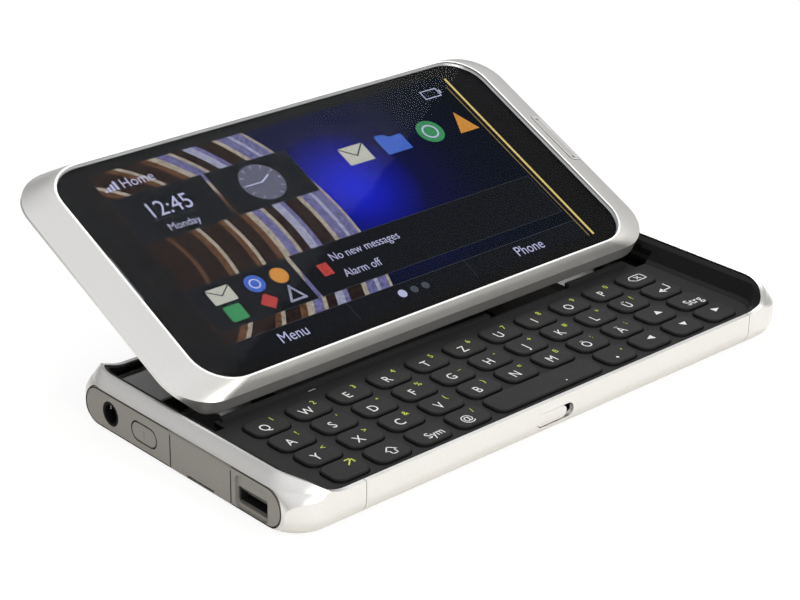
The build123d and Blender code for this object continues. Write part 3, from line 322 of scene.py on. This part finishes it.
by_node = {
    "base_shell": silver, "end_cap_left": silver, "end_cap_right": silver,
    "display_frame": silver, "sim_tray": silver, "lock_slider": silver, "volume_slider": silver,
    "shutter_key": silver, "home_key": silver,
    "port_panel": taupe, "port_flap": taupe, "power_key": taupe,
    "keypad_deck": deck_black, "key_dome_sheet": film, "well_plate": black_plain,
    "hinge_brackets": steel, "lift_arms": steel, "guide_links": steel, "display_chassis": steel,
    "base_pivot_pins": dark_pin, "display_pivot_pins": dark_pin, "hinge_springs": dark_pin,
    "base_screws": pin_steel, "display_screws": pin_steel, "vibration_motor": pin_steel,
    "main_board": board, "shield_cans": plated, "battery": foil, "audio_jack": black_plain,
    "jack_cover": cover_grey, "micro_usb_socket": dark_plated, "mini_hdmi_socket": plated,
    "camera_module": black_plain, "camera_window": window, "flash_leds": lamp,
    "loudspeaker": black_plain, "speaker_grille": mesh_steel, "cover_glass": glass,
    "display_panel": screen_black, "back_cover": cover_grey, "earpiece": black_plain,
    "earpiece_mesh": mesh_steel, "front_camera": window, "flex_cable": flex_film,
}
for name, node in nodes.items():
    node.data.materials.clear()
    node.data.materials.append(by_node.get(name, key_black))


# ---------------------------------------------------------------- drawing helpers
def rounded_outline(width, height, radius, x=0.0, y=0.0, steps=8):
    points = []
    for corner, (sx, sy) in enumerate(((1, 1), (-1, 1), (-1, -1), (1, -1))):
        cx = x + sx * (width / 2 - radius)
        cy = y + sy * (height / 2 - radius)
        for step in range(steps + 1):
            angle = math.pi / 2 * (corner + step / steps)
            points.append((cx + radius * math.cos(angle), cy + radius * math.sin(angle)))
    return points


def circle_outline(x, y, radius, steps=40):
    turn = 2 * math.pi / steps
    return [(x + radius * math.cos(turn * i), y + radius * math.sin(turn * i))
            for i in range(steps)]


CAP_SHARE = 0.73        # cap height of the lettering as a share of its size


def lettering(words, cap, squeeze):
    """Plain sans lettering as a solid with this cap height, centred on the origin."""
    curve = bpy.data.curves.new("lettering", "FONT")
    curve.body = words
    curve.resolution_u = 4
    curve.extrude = 0.01
    holder = bpy.data.objects.new("lettering", curve)
    bpy.context.scene.collection.objects.link(holder)
    mesh = bpy.data.meshes.new_from_object(
        holder.evaluated_get(bpy.context.evaluated_depsgraph_get()))
    bpy.data.objects.remove(holder)
    bpy.data.curves.remove(curve)
    xs = [vertex.co.x for vertex in mesh.vertices]
    size = cap / CAP_SHARE
    middle = (min(xs) + max(xs)) / 2
    for vertex in mesh.vertices:
        vertex.co.x = (vertex.co.x - middle) * size * squeeze
        vertex.co.y = vertex.co.y * size - cap / 2
    return mesh


class Drawing:
    """Flat marks, lettering and plates gathered into one thin solid mesh."""

    def __init__(self, place, height, thick=0.02):
        self.place = place @ Matrix.Translation((0, 0, height))
        self.thick = thick
        self.bm = bmesh.new()

    def plate(self, points):
        low = [self.bm.verts.new((x, y, 0)) for x, y in points]
        high = [self.bm.verts.new((x, y, self.thick)) for x, y in points]
        self.bm.faces.new(high)
        self.bm.faces.new(list(reversed(low)))
        for i in range(len(points)):
            j = (i + 1) % len(points)
            self.bm.faces.new((low[i], low[j], high[j], high[i]))

    def stroke(self, points, width, closed=False):
        ends = list(zip(points, points[1:] + points[:1] if closed else points[1:]))
        for (x0, y0), (x1, y1) in ends:
            length = math.hypot(x1 - x0, y1 - y0)
            ax, ay = (x1 - x0) / length * width / 2, (y1 - y0) / length * width / 2
            self.plate([(x0 - ax + ay, y0 - ay - ax), (x1 + ax + ay, y1 + ay - ax),
                        (x1 + ax - ay, y1 + ay + ax), (x0 - ax - ay, y0 - ay + ax)])

    def ring(self, x, y, inner, outer, steps=40, start=0.0, end=2 * math.pi):
        for i in range(steps):
            a = start + (end - start) * i / steps
            b = start + (end - start) * (i + 1) / steps
            self.plate([(x + outer * math.cos(a), y + outer * math.sin(a)),
                        (x + outer * math.cos(b), y + outer * math.sin(b)),
                        (x + inner * math.cos(b), y + inner * math.sin(b)),
                        (x + inner * math.cos(a), y + inner * math.sin(a))])

    def box(self, x0, x1, y0, y1):
        self.plate([(x0, y0), (x1, y0), (x1, y1), (x0, y1)])

    def words(self, text, x, y, cap, squeeze=0.86, left=False):
        mesh = lettering(text, cap, squeeze)
        if left:
            x -= min(vertex.co.x for vertex in mesh.vertices)
        for vertex in mesh.vertices:
            vertex.co = (vertex.co.x + x, vertex.co.y + y, self.thick if vertex.co.z > 0 else 0)
        self.bm.from_mesh(mesh)
        bpy.data.meshes.remove(mesh)

    def trim(self, x0, x1, y0, y1):
        """Cuts the drawing off at a window's four sides and closes the cuts."""
        for point, normal in (((x0, 0, 0), (-1, 0, 0)), ((x1, 0, 0), (1, 0, 0)),
                              ((0, y0, 0), (0, -1, 0)), ((0, y1, 0), (0, 1, 0))):
            cut = bmesh.ops.bisect_plane(
                self.bm, geom=self.bm.verts[:] + self.bm.edges[:] + self.bm.faces[:],
                dist=1e-6, plane_co=point, plane_no=normal, clear_outer=True)
            edges = [item for item in cut["geom_cut"] if isinstance(item, bmesh.types.BMEdge)]
            bmesh.ops.holes_fill(self.bm, edges=edges)

    def finish(self, name, material, body, slot=None):
        self.bm.transform(Matrix.Scale(MM, 4) @ self.place)
        mesh = bpy.data.meshes.new(name)
        self.bm.to_mesh(mesh)
        self.bm.free()
        return piece(name, mesh, material, body)


def piece(name, mesh, material, body):
    mesh.materials.append(material)
    holder = bpy.data.objects.new(name, mesh)
    bpy.context.scene.collection.objects.link(holder)
    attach(holder, body)
    return holder


# ---------------------------------------------------------------- key legends
LETTER_ROWS = (
    ("QWERTZUIOP", "1234567890"),
    ("ASDFGHJKLÜ", "!'\"%_-+#*?"),
    ("YXCVBNMÖÄ", "<>&()=ß:;"),
)
KEY_PLACE = Matrix.Identity(4)


def key_x(column):
    return (column - 5) * KEY_PITCH_X


def key_y(row):
    return ROW_1_Y - row * KEY_PITCH_Y


def legend(height=KEY_TOP):
    return Drawing(KEY_PLACE, height, 0.015)


for row, (letters, seconds) in enumerate(LETTER_ROWS):
    white, green = legend(), legend()
    for column, (letter, second) in enumerate(zip(letters, seconds)):
        white.words(letter, key_x(column) - 0.95, key_y(row) - 0.6, 2.3, 0.8)
        green.words(second, key_x(column) + 1.9, key_y(row) + 1.17, 1.4, 0.9)
    body = f"letter_keys_row_{row + 1}"
    white.finish(f"legends_row_{row + 1}", print_white, body)
    green.finish(f"second_legends_row_{row + 1}", print_green, body)

mark = legend()
mark.stroke([(45.4, -5.07), (46.4, -4.0), (49.4, -4.0), (49.4, -6.14), (46.4, -6.14)], 0.24, True)
mark.stroke([(47.25, -4.6), (48.25, -5.55)], 0.24)
mark.stroke([(47.25, -5.55), (48.25, -4.6)], 0.24)
mark.finish("legend_backspace", print_white, "key_backspace")

mark = legend()
mark.stroke([(49.2, -10.5), (49.2, -12.6), (47.0, -12.6)], 0.28)
mark.plate([(45.8, -12.6), (47.2, -13.5), (47.2, -11.7)])
mark.finish("legend_enter", print_white, "key_enter")

mark = legend()
mark.plate([(37.4, -19.3), (39.2, -19.3), (38.3, -17.9)])
mark.finish("legend_up", print_white, "key_up")

mark = legend()
mark.words("Strg", 47.6, -19.6, 2.2, 0.9)
mark.finish("legend_ctrl", print_white, "key_ctrl")

mark = legend()
mark.stroke([(-45.75, -25.15), (-44.3, -23.7)], 0.26)
mark.stroke([(-45.45, -23.6), (-44.2, -23.6), (-44.2, -24.85)], 0.26)
mark.finish("legend_fn", print_green, "key_fn")

mark = legend()
mark.stroke([(-37.07, -24.75), (-35.87, -26.0), (-36.5, -26.0), (-36.5, -27.2),
             (-37.64, -27.2), (-37.64, -26.0), (-38.27, -26.0)], 0.24, True)
mark.finish("legend_shift", print_white, "key_shift")

mark = legend()
mark.words("Sym", -27.6, -26.36, 2.0, 0.85)
mark.finish("legend_sym", print_white, "key_sym")

mark = legend()
mark.words("@", -19.64, -26.1, 2.1, 0.9)
mark.finish("legend_at", print_white, "key_at")
mark = legend()
mark.words("/", -16.8, -24.4, 1.4, 0.9)
mark.finish("second_legend_at", print_green, "key_at")

mark = legend()
mark.plate(circle_outline(4.3, -27.2, 0.16, 16))
mark.finish("legend_space", print_white, "key_space")

mark = legend()
mark.plate(circle_outline(18.14, -26.9, 0.3, 20))
mark.finish("legend_dot", print_white, "key_dot")
mark = legend()
mark.words(",", 21.1, -24.2, 1.7, 1.0)
mark.finish("second_legend_dot", print_green, "key_dot")

for name, points in (
        ("left", [(27.95, -25.36), (29.6, -26.15), (29.6, -24.57)]),
        ("down", [(37.5, -24.8), (38.36, -26.1), (39.22, -24.8)]),
        ("right", [(48.85, -25.1), (47.2, -24.3), (47.2, -25.9)])):
    mark = legend()
    mark.plate(points)
    mark.finish(f"legend_{name}", print_white, f"key_{name}")


# ---------------------------------------------------------------- screen
def on_display(height, thick=0.003):
    return Drawing(DISPLAY_PLACE, height, thick)


def layer(level):
    return on_display(ART_W + level * LAYER)


def screen_piece(drawing, name, material):
    drawing.finish(name, material, "display", "screen")


mask = on_display(MASK_W, 0.015)
mask.plate(rounded_outline(106.1, 55.5, 7.5))
mask.finish("screen_mask", screen_black, "display", "screen")

glow = layer(0)
glow.box(*SCREEN_U, *SCREEN_V)
screen_piece(glow, "screen_glow", glow_material())

BANDS = (
    (14.0, 19.5, dark_brown), (19.5, 20.4, brown), (20.4, 24.6, dark_brown), (24.6, 26.0, brown),
    (26.0, 26.8, cream), (26.8, 31.0, dark_brown), (31.0, 32.2, brown), (32.2, 33.0, cream),
    (33.0, 36.0, dark_brown), (36.0, 37.4, brown), (37.4, 38.8, cream), (38.8, 40.8, purple),
    (40.8, 41.6, cream), (41.6, 43.6, dark_brown), (43.6, 45.4, lilac), (45.4, 46.4, purple),
    (46.4, 49.6, dark_brown), (49.6, 50.6, cream), (50.6, 52.6, purple), (52.6, 53.4, lilac),
    (53.4, 55.4, purple), (55.4, 56.0, cream),
)
for number, (inner, outer, material) in enumerate(BANDS):
    band = layer(1)
    band.ring(-58.0, -1.0, inner, outer, 72, -math.pi / 2, math.pi / 2)
    band.trim(*SCREEN_U, *SCREEN_V)
    screen_piece(band, f"screen_band_{number + 1}", material)

PANELS = ((-44.2, -23.5, 6.2, 18.0), (-22.7, -3.0, 6.2, 18.0), (-44.2, -21.2, -17.2, -6.3),
          (-20.2, 42.6, -17.2, -6.3))
panels, outlines = layer(2), layer(3)
for x0, x1, y0, y1 in PANELS:
    panels.box(x0, x1, y0, y1)
    outlines.stroke([(x0, y0), (x1, y0), (x1, y1), (x0, y1)], 0.12, True)
panels.box(*SCREEN_U, SCREEN_V[0], -20.2)
outlines.box(*SCREEN_U, -20.25, -20.1)
for x in (-17.0, 12.7):
    outlines.box(x - 0.06, x + 0.06, SCREEN_V[0], -20.2)
screen_piece(panels, "screen_panels", panel_dark)
screen_piece(outlines, "screen_outlines", panel_line)

text = layer(4)
text.words("12:45", -33.9, 13.4, 4.0)
text.words("Monday", -33.9, 8.4, 1.9)
text.words("Home", -39.5, 21.3, 2.5, left=True)
text.words("No new messages", -12.6, -9.5, 2.0, left=True)
text.words("Alarm off", -12.6, -13.9, 2.0, left=True)
text.words("Menu", -31.3, -22.5, 2.5)
text.words("Phone", 28.5, -22.5, 2.5)
text.plate(circle_outline(-4.9, -22.5, 0.95, 28))
text.stroke([(36.4, 20.0), (40.6, 20.0), (40.6, 22.2), (36.4, 22.2)], 0.25, True)
text.box(40.9, 41.3, 20.6, 21.6)
for step in range(4):
    text.box(-43.6 + step * 0.85, -43.0 + step * 0.85, 20.1, 20.7 + step * 0.55)
screen_piece(text, "screen_text", light_text)

faint = layer(4)
for x in (-1.9, 0.9):
    faint.plate(circle_outline(x, -22.5, 0.85, 28))
faint.box(-42.2, -25.6, 10.6, 10.7)
screen_piece(faint, "screen_faint", dim_text)

dial = layer(4)
dial.plate(circle_outline(-12.8, 12.1, 4.8))
screen_piece(dial, "screen_dial", lit_material("screen_dial_face", (0.09, 0.09, 0.13),
                                               (0.13, 0.13, 0.18)))
hands = layer(5)
for hour in range(12):
    angle = math.pi / 6 * hour
    hands.stroke([(-12.8 + 3.9 * math.cos(angle), 12.1 + 3.9 * math.sin(angle)),
                  (-12.8 + 4.4 * math.cos(angle), 12.1 + 4.4 * math.sin(angle))], 0.16)
hands.stroke([(-12.8, 12.1), (-10.6, 13.3)], 0.35)
hands.stroke([(-12.8, 12.1), (-16.4, 12.1)], 0.25)
screen_piece(hands, "screen_hands", light_text)

icons = layer(4)
icons.box(7.6, 13.9, 9.4, 14.2)
icons.plate(rounded_outline(5.2, 3.8, 0.4, -38.2, -9.6))
screen_piece(icons, "icons_cream", lit_material("screen_icon_cream", (0.42, 0.42, 0.36),
                                                (0.55, 0.54, 0.46)))
icons = layer(5)
icons.stroke([(7.8, 14.0), (10.75, 11.4), (13.7, 14.0)], 0.3)
icons.stroke([(-40.6, -8.0), (-38.2, -9.8), (-35.8, -8.0)], 0.25)
screen_piece(icons, "icons_fold", panel_line)
icons = layer(4)
icons.plate([(17.4, 9.2), (23.9, 9.2), (23.9, 13.6), (20.6, 13.6), (19.9, 14.6), (17.4, 14.6)])
icons.plate(circle_outline(-30.6, -9.6, 2.1, 28))
screen_piece(icons, "icons_blue", icon_blue)
icons = layer(4)
icons.plate(circle_outline(30.7, 11.8, 3.1))
icons.plate(rounded_outline(3.8, 3.8, 0.5, -38.2, -14.2))
screen_piece(icons, "icons_green", icon_green)
icons = layer(5)
icons.ring(30.7, 11.8, 1.5, 1.9, 32)
icons.ring(-30.6, -9.6, 0.9, 1.2, 24)
screen_piece(icons, "icons_rings", light_text)
icons = layer(4)
icons.plate([(37.0, 9.0), (42.2, 9.0), (39.6, 14.8)])
icons.plate(circle_outline(-24.9, -9.6, 1.9, 28))
screen_piece(icons, "icons_orange", icon_orange)
icons = layer(4)
icons.plate([(-32.6, -14.2), (-30.6, -12.2), (-28.6, -14.2), (-30.6, -16.2)])
icons.box(-16.6, -14.2, -13.2, -10.2)
screen_piece(icons, "icons_red", icon_red)
icons = layer(4)
icons.stroke([(-26.6, -15.9), (-24.9, -12.6), (-23.2, -15.9)], 0.5, True)
screen_piece(icons, "icons_lilac", lilac)

lines = layer(4)
lines.box(44.55, 45.1, -24.8, 23.9)
screen_piece(lines, "screen_edge_line", gold)
lines = layer(4)
lines.box(43.4, 43.62, -24.8, 21.6)
screen_piece(lines, "screen_edge_line_dim", gold_dim)


# ---------------------------------------------------------------- flat cable
def cable_path():
    """The cable's run in the Y-Z plane, with its bends rounded, in millimetres."""
    points = [CABLE_CORNERS[0]]
    for before, corner, after in zip(CABLE_CORNERS, CABLE_CORNERS[1:], CABLE_CORNERS[2:]):
        corner = Vector(corner)
        to_before = (Vector(before) - corner).normalized()
        to_after = (Vector(after) - corner).normalized()
        reach = CABLE_BEND / math.tan(to_before.angle(to_after) / 2)
        for step in range(9):
            t = step / 8
            points.append(corner + to_before * reach * (1 - t) ** 2 + to_after * reach * t ** 2)
    points.append(CABLE_CORNERS[-1])
    return [Vector(point) for point in points]


def flat_cable():
    """Thin black ribbon with fine raised tracks along it."""
    path = cable_path()
    bm = bmesh.new()
    x0, x1 = CABLE_X
    pitch = (x1 - x0) / CABLE_TRACKS
    profile = []
    for track in range(CABLE_TRACKS):
        left = x0 + (x1 - x0) * track / CABLE_TRACKS
        profile += [(left, 0.07), (left + 0.25 * pitch, 0.1), (left + 0.75 * pitch, 0.1)]
    profile.append((x1, 0.07))
    profile += [(x1, -0.09), (x0, -0.09)]
    rings = []
    for i, point in enumerate(path):
        ahead = path[min(i + 1, len(path) - 1)] - path[max(i - 1, 0)]
        normal = Vector((-ahead.y, ahead.x)).normalized()
        rings.append([bm.verts.new((x, point.x + normal.x * h, point.y + normal.y * h))
                      for x, h in profile])
    for first, second in zip(rings, rings[1:]):
        for i in range(len(profile)):
            j = (i + 1) % len(profile)
            bm.faces.new((first[i], second[i], second[j], first[j]))
    bm.faces.new(rings[0])
    bm.faces.new(list(reversed(rings[-1])))
    bmesh.ops.recalc_face_normals(bm, faces=bm.faces)
    bm.transform(Matrix.Scale(MM, 4))
    mesh = bpy.data.meshes.new("flat_cable")
    bm.to_mesh(mesh)
    bm.free()
    ribbon = piece("flat_cable", mesh, flex_film, "base")
    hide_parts("flex_cable")
    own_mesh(ribbon)


flat_cable()


# ---------------------------------------------------------------- small marks
mark = Drawing(KEY_PLACE, DECK_Z, 0.02)
mark.plate(rounded_outline(1.7, 0.35, 0.15, -32.0, 0.7))
mark.finish("deck_mark", finish_material("mark_grey", (0.2, 0.2, 0.2), (0.26, 0.26, 0.26), 0.5,
                                         0.0, 3000.0, 0.000004), "base", "deck_black")

mark = Drawing(LEFT_PLACE, 0.0, 0.01)
mark.plate(rounded_outline(0.12, 1.5, 0.05, -POWER[0], POWER[1]))
mark.finish("power_mark", finish_material("mark_brown", (0.1, 0.095, 0.088), (0.13, 0.12, 0.11),
                                          0.5, 0.0, 3000.0, 0.000004), "power_key", "taupe")


# ---------------------------------------------------------------- painted shadow in the seams of the left end
seam_shadow = finish_material("seam_shadow", (0.006, 0.006, 0.006), (0.01, 0.01, 0.01), 0.6, 0.0,
                             3000.0, 0.000002, Specular_IOR_Level=0.1)


def seam(name, body, width, outlines, closed=False):
    """Painted shadow: a dark line along the gap at the edge of a piece in the left end."""
    line = Drawing(LEFT_PLACE, 0.0, 0.01)
    for points in outlines:
        line.stroke(points, width, closed)
    line.finish(name, seam_shadow, body, "taupe")


panel_rim = rounded_outline(54.2, 7.0, 3.3, -0.4, 4.5)
low, high = PANEL_HEIGHTS
seam("panel_seam", "base", 0.2,
     [[(PANEL_BREAK[0], low)] + panel_rim[27:] + panel_rim[:9] + [(PANEL_BREAK[0], high)],
      [(PANEL_BREAK[1], high)] + panel_rim[9:27] + [(PANEL_BREAK[1], low)]])
seam("flap_seam", "port_flap", 0.2,
     [[(x, height) for height in FLAP_HEIGHTS] for x in FLAP_SIDES])
seam("power_seam", "power_key", 0.14,
     [rounded_outline(7.05, 3.45, 1.7, -POWER[0], POWER[1])], closed=True)


# ---------------------------------------------------------------- home key and jack contact
HOME_PLACE = (DISPLAY_PLACE @ Matrix.Translation(HOME_MIDDLE)
              @ Matrix.Rotation(HOME_SLOPE, 4, "Y"))
# painted highlight: a near-white line round the key's edge
rim = Drawing(HOME_PLACE, 0.01, 0.02)
rim.stroke(rounded_outline(2.7, 13.3, 0.6), 0.2, True)
rim.finish("home_key_rim", edge_highlight, "home_key", "silver_trim")
# painted shade: grey dots where the key's two dimples are
dimple_shade = Drawing(HOME_PLACE, 0.015, 0.02)
for y in (-6.0, 6.0):
    dimple_shade.plate(circle_outline(0.0, y, 0.35, 20))
dimple_shade.finish("home_key_dimple_shade", cover_grey, "home_key", "silver_trim")

contact = Drawing(LEFT_PLACE, -1.2, 0.5)
contact.plate(rounded_outline(0.5, 0.9, 0.15, -JACK[0] - 0.9, JACK[1] + 0.9))
contact.finish("jack_contact", pin_steel, "base", "pin_steel")


# ---------------------------------------------------------------- painted highlight on the edge round the glass
def edge_ring(name, length, depth, radius, width, height):
    """Narrow chamfer that follows the edge of the glass, painted near white as its highlight."""
    ring = on_display(height, 0.03)
    outer = rounded_outline(length, depth, radius)
    inner = rounded_outline(length - 2 * width, depth - 2 * width, radius - width)
    for i in range(len(outer)):
        j = (i + 1) % len(outer)
        ring.plate([outer[i], outer[j], inner[j], inner[i]])
    ring.finish(name, edge_highlight, "display", "silver_trim")


edge_ring("glass_edge", length=107.1, depth=56.4, radius=7.95, width=0.36, height=-0.015)


# ---------------------------------------------------------------- studio
CAMERA_PLACE = (-253.43, -262.83, 181.02)
CAMERA_LENS = 97.44
CAMERA_RIGHT = Vector((0.73886797, -0.67377542, 0.01004046))
CAMERA_DOWN = Vector((-0.27256038, -0.31245257, -0.90999134))
CAMERA_AHEAD = Vector((0.61626696, 0.66962682, -0.41450568))


def place_camera():
    """Camera as it was fitted to the photograph."""
    camera = bpy.data.cameras.new("camera")
    camera.sensor_width = 36.0
    camera.lens = CAMERA_LENS
    camera.clip_start = 0.01
    holder = bpy.data.objects.new("camera", camera)
    turn = Matrix((CAMERA_RIGHT, -CAMERA_DOWN, -CAMERA_AHEAD)).transposed().to_4x4()
    holder.matrix_world = Matrix.Translation(Vector(CAMERA_PLACE) * MM) @ turn
    bpy.context.scene.collection.objects.link(holder)
    bpy.context.scene.camera = holder


def add_lamp(name, place, target, size, power, color=(1, 1, 1)):
    data = bpy.data.lights.new(name, "AREA")
    data.shape = "RECTANGLE"
    data.size, data.size_y = size
    data.energy = power
    data.color = color
    holder = bpy.data.objects.new(name, data)
    start = Vector(place)
    aim = (Vector(target) - start).to_track_quat("-Z", "Y")
    holder.matrix_world = Matrix.Translation(start) @ aim.to_matrix().to_4x4()
    bpy.context.scene.collection.objects.link(holder)


FLOOR_HALF = 1.5
FLOOR_LIT = 0.8         # share of the floor's own light in what the camera sees
POOL = ((0.1, (0.95, 0.94, 0.91)), (0.2, (0.08, 0.08, 0.08)))


def add_floor():
    """White floor for the camera; other rays see a pool of light that ends beyond the object."""
    mesh = bpy.data.meshes.new("floor")
    corners = ((-1, -1), (1, -1), (1, 1), (-1, 1))
    mesh.from_pydata([(x * FLOOR_HALF, y * FLOOR_HALF, 0) for x, y in corners],
                     [], [(0, 1, 2, 3)])
    floor = bpy.data.objects.new("floor", mesh)
    bpy.context.scene.collection.objects.link(floor)
    mat, nt, out = new_material("studio_floor")
    path = nt.nodes.new("ShaderNodeLightPath")
    white = add(nt, "ShaderNodeBsdfDiffuse")
    white.inputs[0].default_value = (0.95, 0.95, 0.95, 1)
    bright = add(nt, "ShaderNodeEmission", Strength=1.05)
    bright.inputs[0].default_value = (1, 1, 1, 1)
    pool = nt.nodes.new("ShaderNodeBsdfDiffuse")
    coords = nt.nodes.new("ShaderNodeTexCoord")
    apart = add(nt, "ShaderNodeVectorMath", operation="LENGTH")
    nt.links.new(coords.outputs["Object"], apart.inputs[0])
    nt.links.new(color_ramp(nt, apart.outputs["Value"], POOL), pool.inputs[0])
    seen = nt.nodes.new("ShaderNodeMixShader")
    seen.inputs[0].default_value = FLOOR_LIT
    nt.links.new(white.outputs[0], seen.inputs[1])
    nt.links.new(bright.outputs[0], seen.inputs[2])
    shader = mix_shaders(nt, path.outputs["Is Camera Ray"], pool.outputs[0], seen.outputs[0])
    nt.links.new(shader, out.inputs[0])
    mesh.materials.append(mat)


def glow_toward(nt, coords, direction, steps):
    """Background light that follows how near a direction is to the given one."""
    toward = add(nt, "ShaderNodeVectorMath", operation="DOT_PRODUCT")
    toward.inputs[1].default_value = direction
    nt.links.new(coords.outputs["Generated"], toward.inputs[0])
    share = map_range(nt, toward.outputs["Value"], From_Min=-1.0)
    light = add(nt, "ShaderNodeBackground", Strength=1.0)
    nt.links.new(color_ramp(nt, share, steps), light.inputs[0])
    return light.outputs[0]


ROOM_STEPS = ((0.52, (0.25, 0.25, 0.25)), (0.64, (0.7, 0.7, 0.7)), (0.78, (0.3, 0.3, 0.3)),
              (0.9, (0.15, 0.15, 0.15)))
WINDOWS = (
    ((0.616, -0.388, 0.648), ((0.9, (0, 0, 0)), (0.985, (1.2, 1.14, 1.02)))),
    ((-0.4, -0.1, 0.9), ((0.8, (0, 0, 0)), (0.97, (0.8, 0.8, 0.82)))),
)


def light_world():
    """White for the camera, even fill, and for reflections a room with two soft windows."""
    world = bpy.data.worlds.new("studio")
    bpy.context.scene.world = world
    world.use_nodes = True
    nt = world.node_tree
    nt.nodes.clear()
    out = nt.nodes.new("ShaderNodeOutputWorld")
    seen = add(nt, "ShaderNodeBackground", Strength=1.0)
    seen.inputs[0].default_value = (1, 1, 1, 1)
    lit = add(nt, "ShaderNodeBackground", Strength=0.85)
    lit.inputs[0].default_value = (1, 0.995, 0.985, 1)
    coords = nt.nodes.new("ShaderNodeTexCoord")
    mirrored = glow_toward(nt, coords, (0, 0, 1), ROOM_STEPS)
    for direction, steps in WINDOWS:
        both = nt.nodes.new("ShaderNodeAddShader")
        nt.links.new(mirrored, both.inputs[0])
        nt.links.new(glow_toward(nt, coords, direction, steps), both.inputs[1])
        mirrored = both.outputs[0]
    path = nt.nodes.new("ShaderNodeLightPath")
    unseen = mix_shaders(nt, path.outputs["Is Glossy Ray"], lit.outputs[0], mirrored)
    shader = mix_shaders(nt, path.outputs["Is Camera Ray"], unseen, seen.outputs[0])
    nt.links.new(shader, out.inputs[0])


place_camera()
add_floor()
light_world()
centre = (0.0, 0.01, 0.01)
add_lamp("key_lamp", place=(0.4, 0.3, 0.7), target=centre, size=(0.4, 0.4), power=2.0)
add_lamp("front_lamp", place=(-0.1, -0.65, 0.25), target=centre, size=(0.5, 0.3), power=2.6,
         color=(1.0, 0.97, 0.92))

bpy.context.scene.view_settings.view_transform = "Standard"
